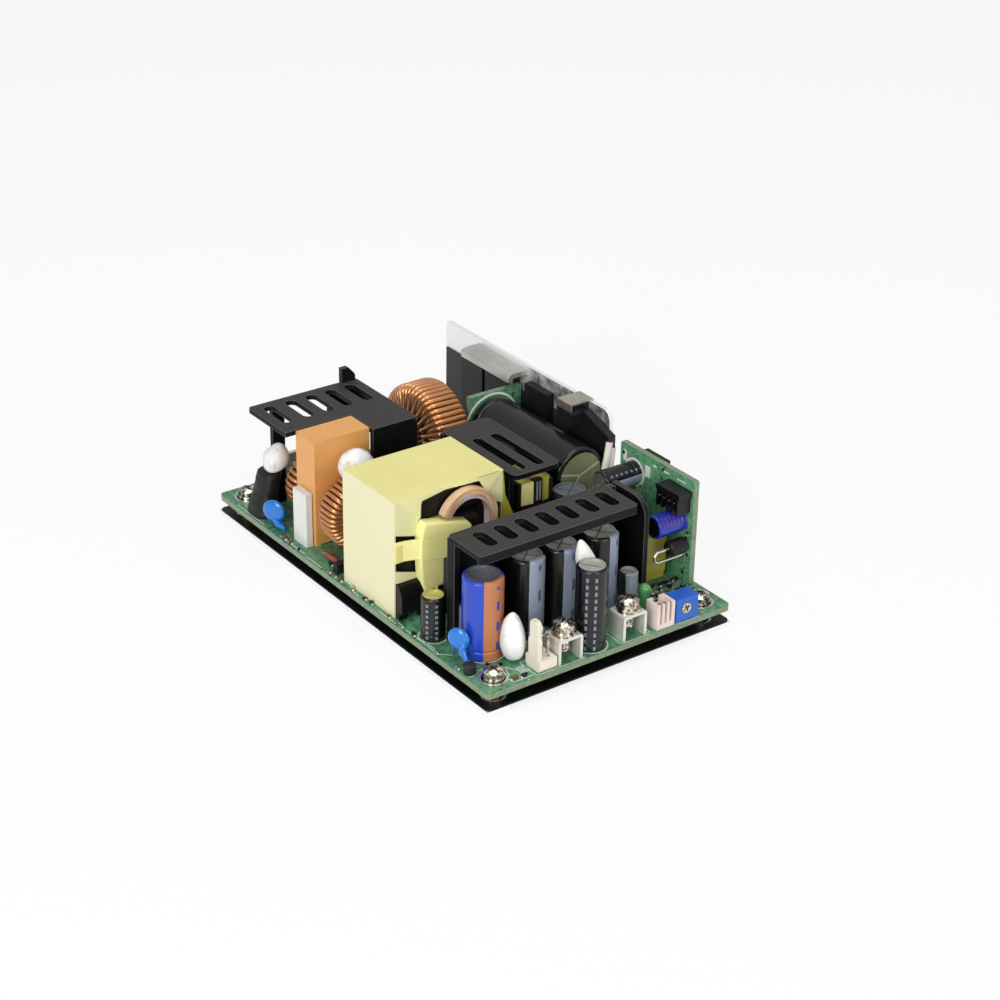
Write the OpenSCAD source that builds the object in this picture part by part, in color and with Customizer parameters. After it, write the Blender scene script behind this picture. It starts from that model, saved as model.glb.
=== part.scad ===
// Open frame power supply: a circuit board on an aluminium base with one folded side wall.
// Millimetres. X runs across the board towards the wall, Y along it towards the mains end, Z up.
// Every piece is drawn from the board's near left corner, on the board's underside, and then
// moved by seat() so that the origin lies under the middle of the base.

/* [Board] */
// Board width across X
board_w = 76.2; // [70:0.1:90]
// Board length along Y
board_l = 127; // [120:0.1:140]
// Board thickness
board_t = 1.6; // [1:0.1:2.4]
// Radius of the board's corners
board_r = 1.5; // [0.5:0.1:3]
// Distance of the corner holes from the board's edges
hole_inset = 5.715; // [4:0.005:8]
// Diameter of the corner holes
hole_d = 3.2; // [2.5:0.1:4]

/* [Base and wall] */
// Thickness of the folded aluminium sheet
sheet_t = 1.2; // [1:0.1:2]
// Gap between the board and the insulating sheet
under_gap = 3; // [2.5:0.1:6]
// Thickness of the insulating sheets
film_t = 0.4; // [0.2:0.1:0.8]
// Height of the wall above the board's underside
wall_top = 35.4; // [30:0.1:40]
// Where the wall starts and ends along Y
wall_span = [51.5, 126.9]; // [0:0.1:140]
// Inside radius of the fold
fold_r = 1; // [0.5:0.1:2]
// Radius of the wall's near top corner
wall_near_r = 3; // [1:0.5:6]
// Radius of the wall's far top corner
wall_far_r = 0.8; // [0.4:0.1:6]
// Width of the front feet along X
foot_w = 6.7; // [5:0.1:12]
// Depth of the recess between the front feet
recess_depth = 9.5; // [9:0.1:14]

/* [Heat sinks] */
// Sheet thickness of the black heat sinks
sink_t = 1.4; // [1:0.1:1.6]
// Corners of the input heat sink's top plate
input_sink_low = [2.8, 84]; // [0:0.1:130]
// Far corner of the input heat sink's top plate
input_sink_high = [37, 114.2]; // [0:0.1:130]
// Height of the input heat sink's top face
input_sink_top = 32; // [31.5:0.1:36]
// Near left corner of the boost heat sink's top plate
boost_sink_low = [39.5, 44]; // [0:0.1:130]
// Far right corner of the boost heat sink's top plate
boost_sink_high = [54.8, 77]; // [0:0.1:130]
// Height of the boost heat sink's top face
boost_sink_top = 30; // [29:0.1:34]
// Near left corner of the output heat sink's top plate
output_sink_low = [6.5, 12.6]; // [0:0.1:130]
// Far right corner of the output heat sink's top plate
output_sink_high = [54.6, 26.4]; // [0:0.1:130]
// Height of the output heat sink's top face
output_sink_top = 31; // [30:0.1:34]
// Depth of the lip along the output heat sink's front edge
output_lip = 2.4; // [2:0.1:5]
// Outer face of the output heat sink's right flange
output_flange_x = 58.6; // [57:0.1:60]

/* [Transformer] */
// Near left corner of the taped core
trafo_low = [1.8, 42.5]; // [0:0.1:130]
// Far right corner of the taped core
trafo_high = [34.9, 65.8]; // [0:0.1:130]
// Height of the taped core above the board's underside
trafo_top = 34; // [33.5:0.1:36]
// Thickness of the tape
tape_t = 0.5; // [0.3:0.1:1]
// Height of the core's window, between its upper and lower legs
window_h = 17.4; // [15:0.1:20]
// Thickness of the core's end plates
core_end_t = 6.4; // [5:0.1:8]
// Outer radius of the copper foil arch
foil_r = 8.6; // [8:0.1:11]

/* [Chokes] */
// Centre of the rear choke: X, Y and Z
rear_choke_at = [15.8, 102.2, 11.5]; // [0:0.1:130]
// Outer radius of the rear choke's winding
rear_choke_r = 8.5; // [7:0.1:9]
// Width of the rear choke's winding along its axis
rear_choke_w = 6.2; // [6:0.1:9]
// Turns on the rear choke
rear_choke_turns = 27; // [16:1:28]
// Centre of the front choke: X, Y and Z
front_choke_at = [14.8, 79.3, 12.6]; // [0:0.1:130]
// Outer radius of the front choke's winding
front_choke_r = 10.5; // [9:0.1:11]
// Width of the front choke's winding along its axis
front_choke_w = 8; // [7:0.1:10]
// Turns on the front choke
front_choke_turns = 40; // [20:1:41]
// Wire diameter of the two input chokes
choke_wire_d = 1.1; // [0.8:0.05:1.2]
// Centre of the boost choke: X, Y and Z
boost_choke_at = [50.6, 99, 17.3]; // [0:0.1:130]
// Outer radius of the boost choke's winding
boost_choke_r = 15.2; // [13:0.1:15.6]
// Width of the boost choke's winding along its axis
boost_choke_w = 11.4; // [10:0.1:14]
// Turns on the boost choke
boost_choke_turns = 52; // [20:1:53]
// Wire diameter of the boost choke
boost_wire_d = 1.35; // [1:0.05:1.4]

/* [Capacitors] */
// Centre of the bulk capacitor's axis: X and Z
bulk_at = [65.2, 20.8]; // [0:0.1:100]
// Diameter of the bulk capacitor
bulk_d = 16; // [14:0.1:16.2]
// Near end and far end of the bulk capacitor along Y
bulk_span = [49.2, 88.3]; // [0:0.1:130]
// Centre of the blue output capacitor
blue_cap_at = [10.65, 17.2]; // [0:0.1:130]
// Diameter and top height of the blue output capacitor
blue_cap_size = [10.4, 23.3]; // [4:0.1:30]
// Centre of the left black output capacitor
left_cap_at = [25, 19.2]; // [0:0.1:130]
// Centre of the middle black output capacitor
middle_cap_at = [35.3, 18.9]; // [0:0.1:130]
// Diameter and top height of the left and middle output capacitors
slim_cap_size = [9.6, 23.6]; // [4:0.1:30]
// Centre of the right black output capacitor
right_cap_at = [46.7, 18]; // [0:0.1:130]
// Diameter and top height of the right output capacitor
right_cap_size = [10, 24]; // [4:0.1:30]
// Centre of the front black output capacitor
front_cap_at = [34.3, 4.9]; // [0:0.1:130]
// Diameter and top height of the front output capacitor
front_cap_size = [8, 24]; // [4:0.1:30]
// Centre of the small output capacitor
small_cap_at = [52.3, 12.6]; // [0:0.1:130]
// Diameter and top height of the small output capacitor
small_cap_size = [5, 13.3]; // [4:0.1:30]
// Centre of the supply capacitor beside the transformer
supply_cap_at = [4.9, 29.9]; // [0:0.1:130]
// Diameter and top height of the supply capacitor
supply_cap_size = [6.3, 13.5]; // [4:0.1:30]
// Centre of the storage capacitor under the bulk capacitor's end
storage_cap_at = [57.8, 44]; // [0:0.1:130]
// Diameter and top height of the storage capacitor
storage_cap_size = [10, 21.3]; // [4:0.1:30]
// Near left corner of the orange film capacitor
film_cap_at = [5.6, 85.4]; // [0:0.1:130]
// Size of the orange film capacitor: X, Y and top height
film_cap_size = [17.1, 9, 32]; // [1:0.1:40]
// Near left corner of the white box capacitor
box_cap_at = [3.1, 86.4]; // [0:0.1:130]
// Size of the white box capacitor: X, Y and top height
box_cap_size = [2.3, 6.4, 17]; // [1:0.1:40]

/* [Connectors] */
// Near left corner of the signal header
signal_header_at = [15.8, 0.6]; // [0:0.1:130]
// Near left corner of the output header
output_header_at = [52, 0.3]; // [0:0.1:130]
// Near left corner of the left screw terminal
left_terminal_at = [21.6, 0.8]; // [0:0.1:130]
// Near left corner of the right screw terminal
right_terminal_at = [41.6, 0.8]; // [0:0.1:130]
// Size of a screw terminal: X, Y and top height
terminal_size = [7.4, 6, 8.5]; // [4:0.1:12]
// Sheet thickness of a screw terminal
terminal_t = 0.8; // [0.5:0.1:1.2]
// Near left corner of the trimmer
trimmer_at = [58.1, 0.3]; // [0:0.1:130]
// Size of the trimmer: X, Y and top height
trimmer_size = [7.1, 4.4, 8.3]; // [3:0.1:12]
// Diameter of the trimmer's rotor
rotor_d = 3; // [2:0.1:3.6]
// Radial clearance of the trimmer's rotor
rotor_gap = 0.05; // [0.02:0.01:0.1]

/* [Control board] */
// Left face of the upright control board
control_x = 73.6; // [72:0.1:74]
// Near and far edge of the control board along Y
control_span = [13.6, 43.2]; // [0:0.1:130]
// Height of the control board's top edge
control_top = 31.3; // [28:0.1:33]

/* [Hidden] */
$fn = 48;
eps = 0.01;
far = 200;
pcb_top = board_t;
sheet_top = -under_gap - film_t;
sheet_bottom = sheet_top - sheet_t;
wall_in = board_w + 0.1;
wall_out = wall_in + sheet_t;
wire_sides = 5;
lead_d = 0.7;
lead_gap = 0.05;
lead_below = 1;
pin_w = 0.64;
pin_pitch = 2.54;
screw_r = 1.5;
screw_gap = 0.05;
thread_r = 1.25;
thread_h = 2.2;
corner_holes = [for (x = [hole_inset, board_w - hole_inset], y = [hole_inset, board_l - hole_inset]) [x, y]];

// Moves a piece from the board's corner to the model's frame.
module seat() {
    translate([-wall_out / 2, -board_l / 2, -sheet_bottom]) children();
}

// A box between two corners.
module block(low, high) {
    translate(low) cube(high - low);
}

// A flat shape in X and Y between two heights.
module slab(z_low, z_high) {
    translate([0, 0, z_low]) linear_extrude(z_high - z_low) children();
}

// A flat shape drawn in Y and Z, as thick as the two X values are apart.
module plate_x(x_low, x_high) {
    translate([x_low, 0, 0]) rotate([90, 0, 90]) linear_extrude(x_high - x_low) children();
}

// A flat shape drawn in X and Z, as thick as the two Y values are apart.
module plate_y(y_low, y_high) {
    translate([0, y_high, 0]) rotate([90, 0, 0]) linear_extrude(y_high - y_low) children();
}

// A rectangle between two corners with round corners of radius r.
module round_rect(low, high, r) {
    union() {
        translate([low.x + r, low.y]) square([high.x - low.x - 2 * r, high.y - low.y]);
        translate([low.x, low.y + r]) square([high.x - low.x, high.y - low.y - 2 * r]);
        for (x = [low.x + r, high.x - r], y = [low.y + r, high.y - r]) translate([x, y]) circle(r);
    }
}

// A slot with round ends, centred on c, of width w and length l along the second axis.
module slot_shape(c, w, l) {
    translate(c) {
        square([w, l - w], center = true);
        for (s = [-1, 1]) translate([0, s * (l - w) / 2]) circle(w / 2);
    }
}

// A straight wire through the board at one place, up to a height.
module lead(at, top, extra = 0, d = lead_d) {
    translate([at.x, at.y, -lead_below]) cylinder(d = d + 2 * extra, h = top + lead_below, $fn = 24);
}

// A row of wires through the board.
module lead_row(first, step, count, top, extra = 0, d = lead_d) {
    for (i = [0:count - 1]) lead(first + i * step, top, extra, d);
}

// BASE, SHEETS AND BOARD

// Outline of the base seen from above, with two feet at the front corners.
module base_outline() {
    slope = 4.5;
    polygon([
        [0, 0], [foot_w, 0], [foot_w + slope, recess_depth - slope], [foot_w + slope, recess_depth],
        [board_w - foot_w - slope, recess_depth], [board_w - foot_w - slope, recess_depth - slope],
        [board_w - foot_w, 0], [board_w, 0], [board_w, wall_span[0] - fold_r],
        [board_w - fold_r - sheet_t, wall_span[0]], [board_w - fold_r - sheet_t, wall_span[1]],
        [board_w - fold_r - sheet_t, board_l], [0, board_l]
    ]);
}

// Section of the fold between the base and the wall, seen along Y.
module fold_section() {
    outer_r = fold_r + sheet_t;
    centre = [wall_out - outer_r, sheet_bottom + outer_r];
    translate([board_w - fold_r - sheet_t - eps, sheet_bottom])
        square([centre.x - board_w + fold_r + sheet_t + 2 * eps, sheet_t]);
    difference() {
        translate(centre) circle(outer_r);
        translate(centre) circle(fold_r);
        translate([centre.x - far, centre.y - far / 2]) square([far, far]);
        translate([centre.x - far / 2, centre.y]) square([far, far]);
    }
    translate([wall_in, centre.y - eps]) square([sheet_t, wall_top - centre.y + eps]);
}

// The base and its side wall, cut and folded from one sheet.
module base_plate() {
    color("silver") seat() difference() {
        union() {
            slab(sheet_bottom, sheet_top) base_outline();
            plate_y(wall_span[0], wall_span[1]) fold_section();
        }
        for (p = corner_holes) translate([p.x, p.y, sheet_bottom - 1]) cylinder(r = 2.2, h = sheet_t + 2);
        for (y = wall_span) wall_corner_cut(y);
        clamp_tongues(lead_gap);
    }
}

// What rounds one of the wall's top corners off.
module wall_corner_cut(y) {
    inward = y == wall_span[0] ? 1 : -1;
    r = inward > 0 ? wall_near_r : wall_far_r;
    c = [y + inward * r, wall_top - r];
    plate_x(wall_in - 1, wall_out + 1) difference() {
        translate([inward > 0 ? y - 1 : c.x, c.y]) square([r + 1, r + 1]);
        translate(c) circle(r);
    }
}

// The flat insulating sheet that lies on the base under the board.
module insulating_sheet() {
    color([0.1, 0.1, 0.1]) seat() slab(sheet_top, -under_gap) difference() {
        union() {
            round_rect([0, 0], [board_w, wall_span[0] - 1], board_r);
            round_rect([0, 0], [wall_in - fold_r - 0.2, board_l], board_r);
        }
        for (p = corner_holes) translate(p) circle(3.4);
    }
}

film_edge = 0.5;
film_top = 27.6;

// The insulating film on the inside of the wall.
module wall_insulator() {
    color([0.12, 0.12, 0.12]) seat()
        block([wall_in - film_t, wall_span[0] + film_edge, pcb_top + 0.2],
            [wall_in, wall_span[1] - film_edge, film_top]);
}

// The four threaded standoffs pressed into the base.
module standoffs() {
    color("silver") seat() for (p = corner_holes) translate([p.x, p.y, 0]) difference() {
        union() {
            translate([0, 0, sheet_top]) cylinder(r = 2.75, h = -sheet_top);
            translate([0, 0, sheet_bottom]) cylinder(r = 2.15, h = sheet_t + eps);
        }
        translate([0, 0, sheet_bottom + thread_h]) cylinder(r = screw_r, h = far / 10);
        translate([0, 0, sheet_bottom - 1]) cylinder(r = thread_r, h = thread_h + 2);
    }
}

// Every wire and pin that passes through the board, made wider by extra where the board is drilled.
module all_leads(extra = 0) {
    bobbin_pins(extra);
    bridge_leads(extra);
    rectifier_leads(extra);
    film_cap_leads(extra);
    box_cap_leads(extra);
    for (c = can_list) can_leads(c[0], c[1], extra);
    bypass_leads(extra);
    rear_disc_leads(extra);
    front_disc_leads(extra);
    varistor_leads(extra);
    led_leads(extra);
    trimmer_leads(extra);
    auxiliary_pins(extra);
    pulse_pins(extra);
    choke_holes(extra);
    pin_set(extra);
    terminal_legs(extra);
    transistor_legs(extra);
    riser_tabs(extra);
    control_tabs(extra);
}

// The main circuit board, drilled for its fixings and leads.
module circuit_board() {
    color("seagreen") seat() difference() {
        slab(0, board_t) round_rect([0, 0], [board_w, board_l], board_r);
        for (p = corner_holes) translate([p.x, p.y, -1]) cylinder(d = hole_d, h = board_t + 2);
        all_leads(lead_gap);
    }
}

// A pan head screw with a cross recess and a washer under its head, standing on z = 0.
module pan_screw(head_r, head_h, length, washer_r, washer_t) {
    difference() {
        union() {
            cylinder(r = washer_r, h = washer_t);
            translate([0, 0, washer_t]) rotate_extrude() intersection() {
                square([head_r, head_h]);
                translate([0, head_h - head_r * 1.6]) circle(head_r * 1.6);
            }
            translate([0, 0, -length]) cylinder(r = screw_r - screw_gap, h = length + eps);
        }
        for (a = [0, 90]) rotate(a) translate([-head_r * 0.55, -head_h * 0.14, washer_t + head_h * 0.45])
            cube([head_r * 1.1, head_h * 0.28, head_h]);
    }
}

// The four screws that hold the board on its standoffs.
module board_screws() {
    color("silver") seat() for (p = corner_holes) translate([p.x, p.y, pcb_top])
        pan_screw(2.6, 2.3, 3.2, 2.75, 0.6);
}

// TRANSFORMER

core_low = [trafo_low.x + tape_t, trafo_low.y + tape_t + 0.2, pcb_top + tape_t];
core_high = [trafo_high.x - tape_t, trafo_high.y - tape_t, trafo_top - tape_t];
window_z = (core_low.z + core_high.z) / 2;
window_x = [core_low.x + core_end_t, core_high.x - core_end_t];
coil_y = [core_low.y - 1.7, core_high.y + 0.9];
coil_x = [window_x[0] + 0.3, window_x[0] + 9.6];
bobbin_gap = 0.2;
centre_leg_r = 4.5;

// The ferrite core: two end plates, an upper and a lower leg, and a round centre leg.
module transformer_core() {
    color([0.16, 0.15, 0.15]) seat() {
        difference() {
            block(core_low, core_high);
            block([window_x[0], core_low.y - 1, window_z - window_h / 2],
                [window_x[1], core_high.y + 1, window_z + window_h / 2]);
        }
        translate([window_x[0] - eps, (core_low.y + core_high.y) / 2, window_z]) rotate([0, 90, 0])
            cylinder(r = centre_leg_r, h = window_x[1] - window_x[0] + 2 * eps);
    }
}

// Outline of the coil former and the coil round the centre leg, drawn in Y and Z.
module coil_outline(margin) {
    low = [coil_y[0] - margin, window_z - window_h / 2 + 0.1 - margin];
    high = [coil_y[1] + margin, window_z + window_h / 2 - 0.1 + margin];
    round_rect(low, high, 5);
}

// The hole through the coil for the core's centre leg, drawn in Y and Z.
module leg_hole(gap) {
    translate([(core_low.y + core_high.y) / 2, window_z]) circle(centre_leg_r + gap);
}

bobbin_rail_y = [trafo_low.y - 2.8, trafo_low.y - 0.05];
bobbin_pin_step = 4;
bobbin_pin_count = 7;
foil_t = 2.6;
foil_angle = 158;
foil_centre = [23, 24.1];
foil_y = [trafo_low.y - 2.5, trafo_low.y - 0.1];
bobbin_end_x = foil_centre.x + foil_r - foil_t - 0.4;

// Pins under the bobbin's front rail.
module bobbin_pins(extra = 0) {
    lead_row([trafo_low.x + 2.2, (bobbin_rail_y[0] + bobbin_rail_y[1]) / 2], [bobbin_pin_step, 0],
        bobbin_pin_count, 4.2, extra, 0.9);
}

// The black coil former: a flanged right half in the window and a pin rail along the front.
module transformer_bobbin() {
    color([0.13, 0.13, 0.13]) seat() {
        plate_x(coil_x[1] + 0.1, window_x[1] - 0.2) difference() {
            coil_outline(-1.2);
            leg_hole(bobbin_gap);
        }
        difference() {
            block([trafo_low.x + 0.4, bobbin_rail_y[0], 3.6], [bobbin_end_x, bobbin_rail_y[1], 8.2]);
            block([trafo_low.x + 9, bobbin_rail_y[0] - 1, 6], [bobbin_end_x - 2, bobbin_rail_y[0] + 1.8, 9]);
        }
        block([coil_x[1] + 1.6, trafo_low.y - 0.9, 7], [window_x[1] - 1, core_low.y - 0.1, 12]);
        block([coil_x[1] + 1.6, trafo_low.y, 10.8], [window_x[1] - 1, core_low.y + 1.6, 12]);
        plate_x(trafo_low.x + 0.4, trafo_low.x + 7)
            polygon([[bobbin_rail_y[0], 8.2 - eps], [bobbin_rail_y[1], 8.2 - eps], [bobbin_rail_y[1], 11.4],
                [bobbin_rail_y[0] + 1.4, 11]]);
        for (x = [trafo_low.x + 0.4, bobbin_end_x - 1.2])
            block([x, bobbin_rail_y[0] + 1, pcb_top], [x + 1.2, bobbin_rail_y[1], 3.6 + eps]);
        bobbin_pins();
    }
}

// The coil under its yellow tape, bulging out of the window at both ends.
module transformer_coil() {
    color("khaki") seat() {
        plate_x(coil_x[0], coil_x[1]) difference() {
            coil_outline(0);
            leg_hole(bobbin_gap);
        }
        block([trafo_low.x + 0.2, trafo_low.y - 0.5, window_z - 0.6],
            [coil_x[0] + eps, trafo_low.y, window_z + 4.2]);
    }
}

// The copper foil arch that leads from the coil to the output rectifiers.
module transformer_foil() {
    color([0.8, 0.5, 0.35]) seat() {
        translate([foil_centre.x, foil_y[1], foil_centre.y]) rotate([90, 0, 0])
            rotate_extrude(angle = foil_angle) translate([foil_r - foil_t, 0])
                square([foil_t, foil_y[1] - foil_y[0]]);
        block([foil_centre.x + foil_r - foil_t, foil_y[0], pcb_top],
            [foil_centre.x + foil_r, foil_y[1], foil_centre.y + eps]);
    }
}

// The yellow tape wound round the core, with its edges folded over the front.
module transformer_tape() {
    fold_y = [trafo_low.y, trafo_low.y + tape_t];
    color("khaki") seat() {
        difference() {
            block([trafo_low.x, trafo_low.y, pcb_top], [trafo_high.x, trafo_high.y, trafo_top]);
            block([core_low.x, trafo_low.y - 1, core_low.z], [core_high.x, trafo_high.y + 1, core_high.z]);
        }
        plate_y(fold_y[0], fold_y[1]) {
            polygon([[core_low.x - eps, core_high.z + eps], [core_low.x - eps, window_z + 7.2],
                [window_x[0] - 0.4, window_z + 9.4], [window_x[0] + 0.2, core_high.z - 1.6],
                [window_x[0] + 1.6, core_high.z + eps]]);
            polygon([[core_high.x + eps, core_high.z + eps], [core_high.x + eps, foil_centre.y + 4],
                [core_high.x - 2.2, core_high.z - 2.4], [core_high.x - 4.6, core_high.z + eps]]);
            polygon([[core_low.x - eps, 8], [core_low.x - eps, 12], [window_x[0] - 0.4, 12.6],
                [window_x[0] - 0.4, 8.6]]);
        }
    }
}

// HEAT SINKS

input_notch = [22.9, 95];
input_slot_x = [7.2, 13.9, 20.2, 26.3, 32.5];
input_slot_y = 105.9;
input_slot_size = [3.2, 11.6];
input_leg_x = [9.4, 13.2];
ear_h = 4.5;

// Outline of the input heat sink's top plate, cut away over the film capacitor.
module input_top_outline() {
    difference() {
        round_rect(input_sink_low, input_sink_high, 1);
        translate([input_sink_low.x - 1, input_sink_low.y - 1])
            square([input_notch.x - input_sink_low.x + 1, input_notch.y - input_sink_low.y + 1]);
    }
}

// The input heat sink: a slotted top, a front wall, a rear leg and an ear folded up at the rear edge.
module input_heat_sink() {
    top = input_sink_top;
    low = input_sink_low;
    high = input_sink_high;
    color([0.2, 0.2, 0.2]) seat() {
        difference() {
            slab(top - sink_t, top) input_top_outline();
            for (x = input_slot_x) slab(top - sink_t - 1, top + 1)
                slot_shape([x, input_slot_y], input_slot_size.x, input_slot_size.y);
        }
        block([input_notch.x, low.y, pcb_top], [high.x, low.y + sink_t, top - sink_t / 2]);
        block([input_leg_x[0], high.y - sink_t, pcb_top], [input_leg_x[1], high.y, top - sink_t / 2]);
        plate_y(high.y - sink_t, high.y) polygon([[high.x - 5.4, top - eps], [high.x - 5.4, top + ear_h],
            [high.x - 3.2, top + ear_h], [high.x - 1.3, top + ear_h - 2.1], [high.x - 1, top + ear_h - 2.9],
            [high.x - 1, top - eps]]);
    }
}

bridge_low = [26, 86.2, 6];
bridge_high = [36.4, 90, 24];

// Four leads of the bridge rectifier.
module bridge_leads(extra = 0) {
    lead_row([27, 88], [2.6, 0], 4, 7, extra, 0.9);
}

// The bridge rectifier, held flat against the input heat sink's wall.
module bridge_rectifier() {
    color([0.15, 0.15, 0.15]) seat() {
        difference() {
            block([bridge_low.x, input_sink_low.y + sink_t, bridge_low.z], bridge_high);
            translate([30.9, 80, 20.5]) rotate([-90, 0, 0]) cylinder(r = 1.6, h = 20);
        }
        bridge_leads();
    }
}

boost_slot_at = [[44.1, 57], [49.8, 56.8]];
boost_slot_size = [2.8, 21.5];

// The boost heat sink: a top plate with two long slots over a left wall.
module boost_heat_sink() {
    top = boost_sink_top;
    low = boost_sink_low;
    high = boost_sink_high;
    color([0.2, 0.2, 0.2]) seat() {
        difference() {
            slab(top - sink_t, top) round_rect(low, high, 2);
            for (at = boost_slot_at) slab(top - sink_t - 1, top + 1)
                slot_shape(at, boost_slot_size.x, boost_slot_size.y);
        }
        block([low.x, low.y + 2, pcb_top], [low.x + sink_t, high.y - 2, top - sink_t / 2]);
        block([low.x, high.y - sink_t, 12], [low.x + 10, high.y, top - sink_t / 2]);
    }
}

output_slots = 7;
output_slot_size = [3.4, 8];
output_slot_y = 19.7;
flange_r = 5;
flange_near = 13;
flange_low = 7.5;

// The output heat sink: a slotted top with a front lip, a back wall and two side flanges.
module output_heat_sink() {
    top = output_sink_top;
    low = output_sink_low;
    high = output_sink_high;
    step = (high.x - low.x - 10.8) / (output_slots - 1);
    color([0.2, 0.2, 0.2]) seat() {
        difference() {
            slab(top - sink_t, top) round_rect(low, high, 1);
            for (i = [0:output_slots - 1]) slab(top - sink_t - 1, top + 1)
                slot_shape([low.x + 6.4 + i * step, output_slot_y], output_slot_size.x, output_slot_size.y);
        }
        slab(top - output_lip, top - sink_t / 2) intersection() {
            round_rect(low, high, 1);
            translate(low) square([high.x - low.x, sink_t]);
        }
        block([low.x, high.y - sink_t, pcb_top], [output_flange_x, high.y, top - sink_t / 2]);
        block([low.x, high.y - sink_t - 1.6, pcb_top],
            [low.x + sink_t, high.y - sink_t + eps, top - sink_t / 2]);
        plate_x(output_flange_x - sink_t, output_flange_x) union() {
            translate([flange_near + flange_r, flange_low])
                square([high.y - flange_near - flange_r, top - flange_low]);
            translate([flange_near, flange_low])
                square([high.y - flange_near - 1, top - flange_low - flange_r]);
            translate([flange_near + flange_r, top - flange_r]) circle(flange_r);
        }
        block([output_flange_x - sink_t, high.y - 4, pcb_top],
            [output_flange_x, high.y - sink_t + eps, flange_low + eps]);
    }
}

rectifier_x = [13.6, 25, 36.4, 47.8];
rectifier_y = output_sink_high.y;

// Leads of the output rectifiers.
module rectifier_leads(extra = 0) {
    for (x = rectifier_x) lead_row([x - pin_pitch, rectifier_y + 2.4], [pin_pitch, 0], 3, 8, extra, 0.8);
}

// The four output rectifiers on the back of the output heat sink.
module output_rectifiers() {
    color([0.14, 0.14, 0.14]) seat() {
        for (x = rectifier_x) {
            block([x - 5.1, rectifier_y, 7], [x + 5.1, rectifier_y + 4.4, 22]);
            block([x - 5.1, rectifier_y, 22 - eps], [x + 5.1, rectifier_y + 1.3, 26]);
        }
        rectifier_leads();
    }
}

// FILM AND BOX CAPACITORS

// Leads of the film capacitor.
module film_cap_leads(extra = 0) {
    lead_row(film_cap_at + [1.3, film_cap_size.y / 2], [film_cap_size.x - 2.6, 0], 2, pcb_top + 1, extra);
}

// The orange film capacitor.
module film_capacitor() {
    color("sandybrown") seat() {
        block([film_cap_at.x, film_cap_at.y, pcb_top + 0.4],
            [film_cap_at.x + film_cap_size.x, film_cap_at.y + film_cap_size.y, film_cap_size.z]);
        for (x = [0, film_cap_size.x - 1.5], y = [0, film_cap_size.y - 1.5])
            block([film_cap_at.x + x, film_cap_at.y + y, pcb_top],
                [film_cap_at.x + x + 1.5, film_cap_at.y + y + 1.5, pcb_top + 0.4 + eps]);
        film_cap_leads();
    }
}

// Leads of the box capacitor.
module box_cap_leads(extra = 0) {
    lead_row(box_cap_at + [box_cap_size.x / 2, 0.8], [0, box_cap_size.y - 1.6], 2, pcb_top + 1, extra);
}

// The white box capacitor.
module box_capacitor() {
    color("white") seat() {
        slab(pcb_top, box_cap_size.z)
            round_rect(box_cap_at, box_cap_at + [box_cap_size.x, box_cap_size.y], 0.4);
        box_cap_leads();
    }
}

// CHOKES

// The eight corners of one turn, drawn clear of a core section with round corners: radial and axial
// distance from the section's middle. The turn starts at the rim and goes round over the bore.
function turn_corners(core, wire_d) =
    let (
        out = core_corner_r + wire_d / 2 + core_gap,
        near = out * tan(22.5),
        a = (core[0] - core[1]) / 2 - core_corner_r,
        b = core[2] / 2 - core_corner_r
    )
    [[a + out, b + near], [a + near, b + out], [-a - near, b + out], [-a - out, b + near],
        [-a - out, -b - near], [-a - near, -b - out], [a + near, -b - out], [a + out, -b - near]];

// How far a turn is lifted off the core, from 0 at the rim to 1 at the bore.
function lift(radius, free_r, bore_r) = min(1, max(0, (free_r - radius) / (free_r - bore_r)));

// A point on the winding's centre line. Every second turn rises onto the turns beside it as it
// comes near the bore, where one layer has no room for them all.
function wind_point(turn, step, turns, core, wire_d) =
    let (
        half = turn_corners(core, wire_d)[step],
        r_flat = (core[0] + core[1]) / 2 + half[0],
        free_r = turns * wire_d * 1.06 * 360 / winding_span / (2 * PI),
        up = (turn % 2) * wire_d * 0.92 * lift(r_flat, free_r, core[1]),
        out = sign(half[1]) * up * min(1, abs(half[1]) / (core[2] / 2)),
        r = r_flat - (half[0] < 0 ? up : 0),
        theta = (360 - winding_span) / 2 - 90 + winding_span * (turn + (step + 0.5) / turn_steps) / turns
    )
    [r * cos(theta), r * sin(theta), half[1] + out];

// The centre line of a winding with both its leads, as a list of points. The ring's axis is Z,
// and the leads run along -Y from the winding's two ends to a stretch of drop below the centre.
function wind_path(turns, core, wire_d, drop) =
    let (
        x = lead_offset(core, wire_d),
        y = -(core[0] + wire_d / 2 + core_gap) * cos((360 - winding_span) / 2)
    )
    concat(
        [[x, -drop, 0], [x, y, 0]],
        [for (turn = [0:turns - 1], step = [0:turn_steps - 1]) wind_point(turn, step, turns, core, wire_d)],
        [[-x, y, 0], [-x, -drop, 0]]
    );

// How far each lead stands from the middle of the ring.
function lead_offset(core, wire_d) = (core[0] + wire_d / 2 + core_gap) * sin((360 - winding_span) / 2);

function unit(v) = v / norm(v);

// Cross sections of a wire along a path, each a ring of points square to the path.
function wire_rings(path, d) =
    let (n = len(path))
    [for (i = [0:n - 1])
        let (
            along = unit(path[min(i + 1, n - 1)] - path[max(i - 1, 0)]),
            around = unit([-path[i].y, path[i].x, 0]),
            up = unit(cross(around, along)),
            side = cross(along, up)
        )
        for (k = [0:wire_sides - 1])
            let (a = 360 * k / wire_sides)
            path[i] + d / 2 * (cos(a) * side + sin(a) * up)
    ];

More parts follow.
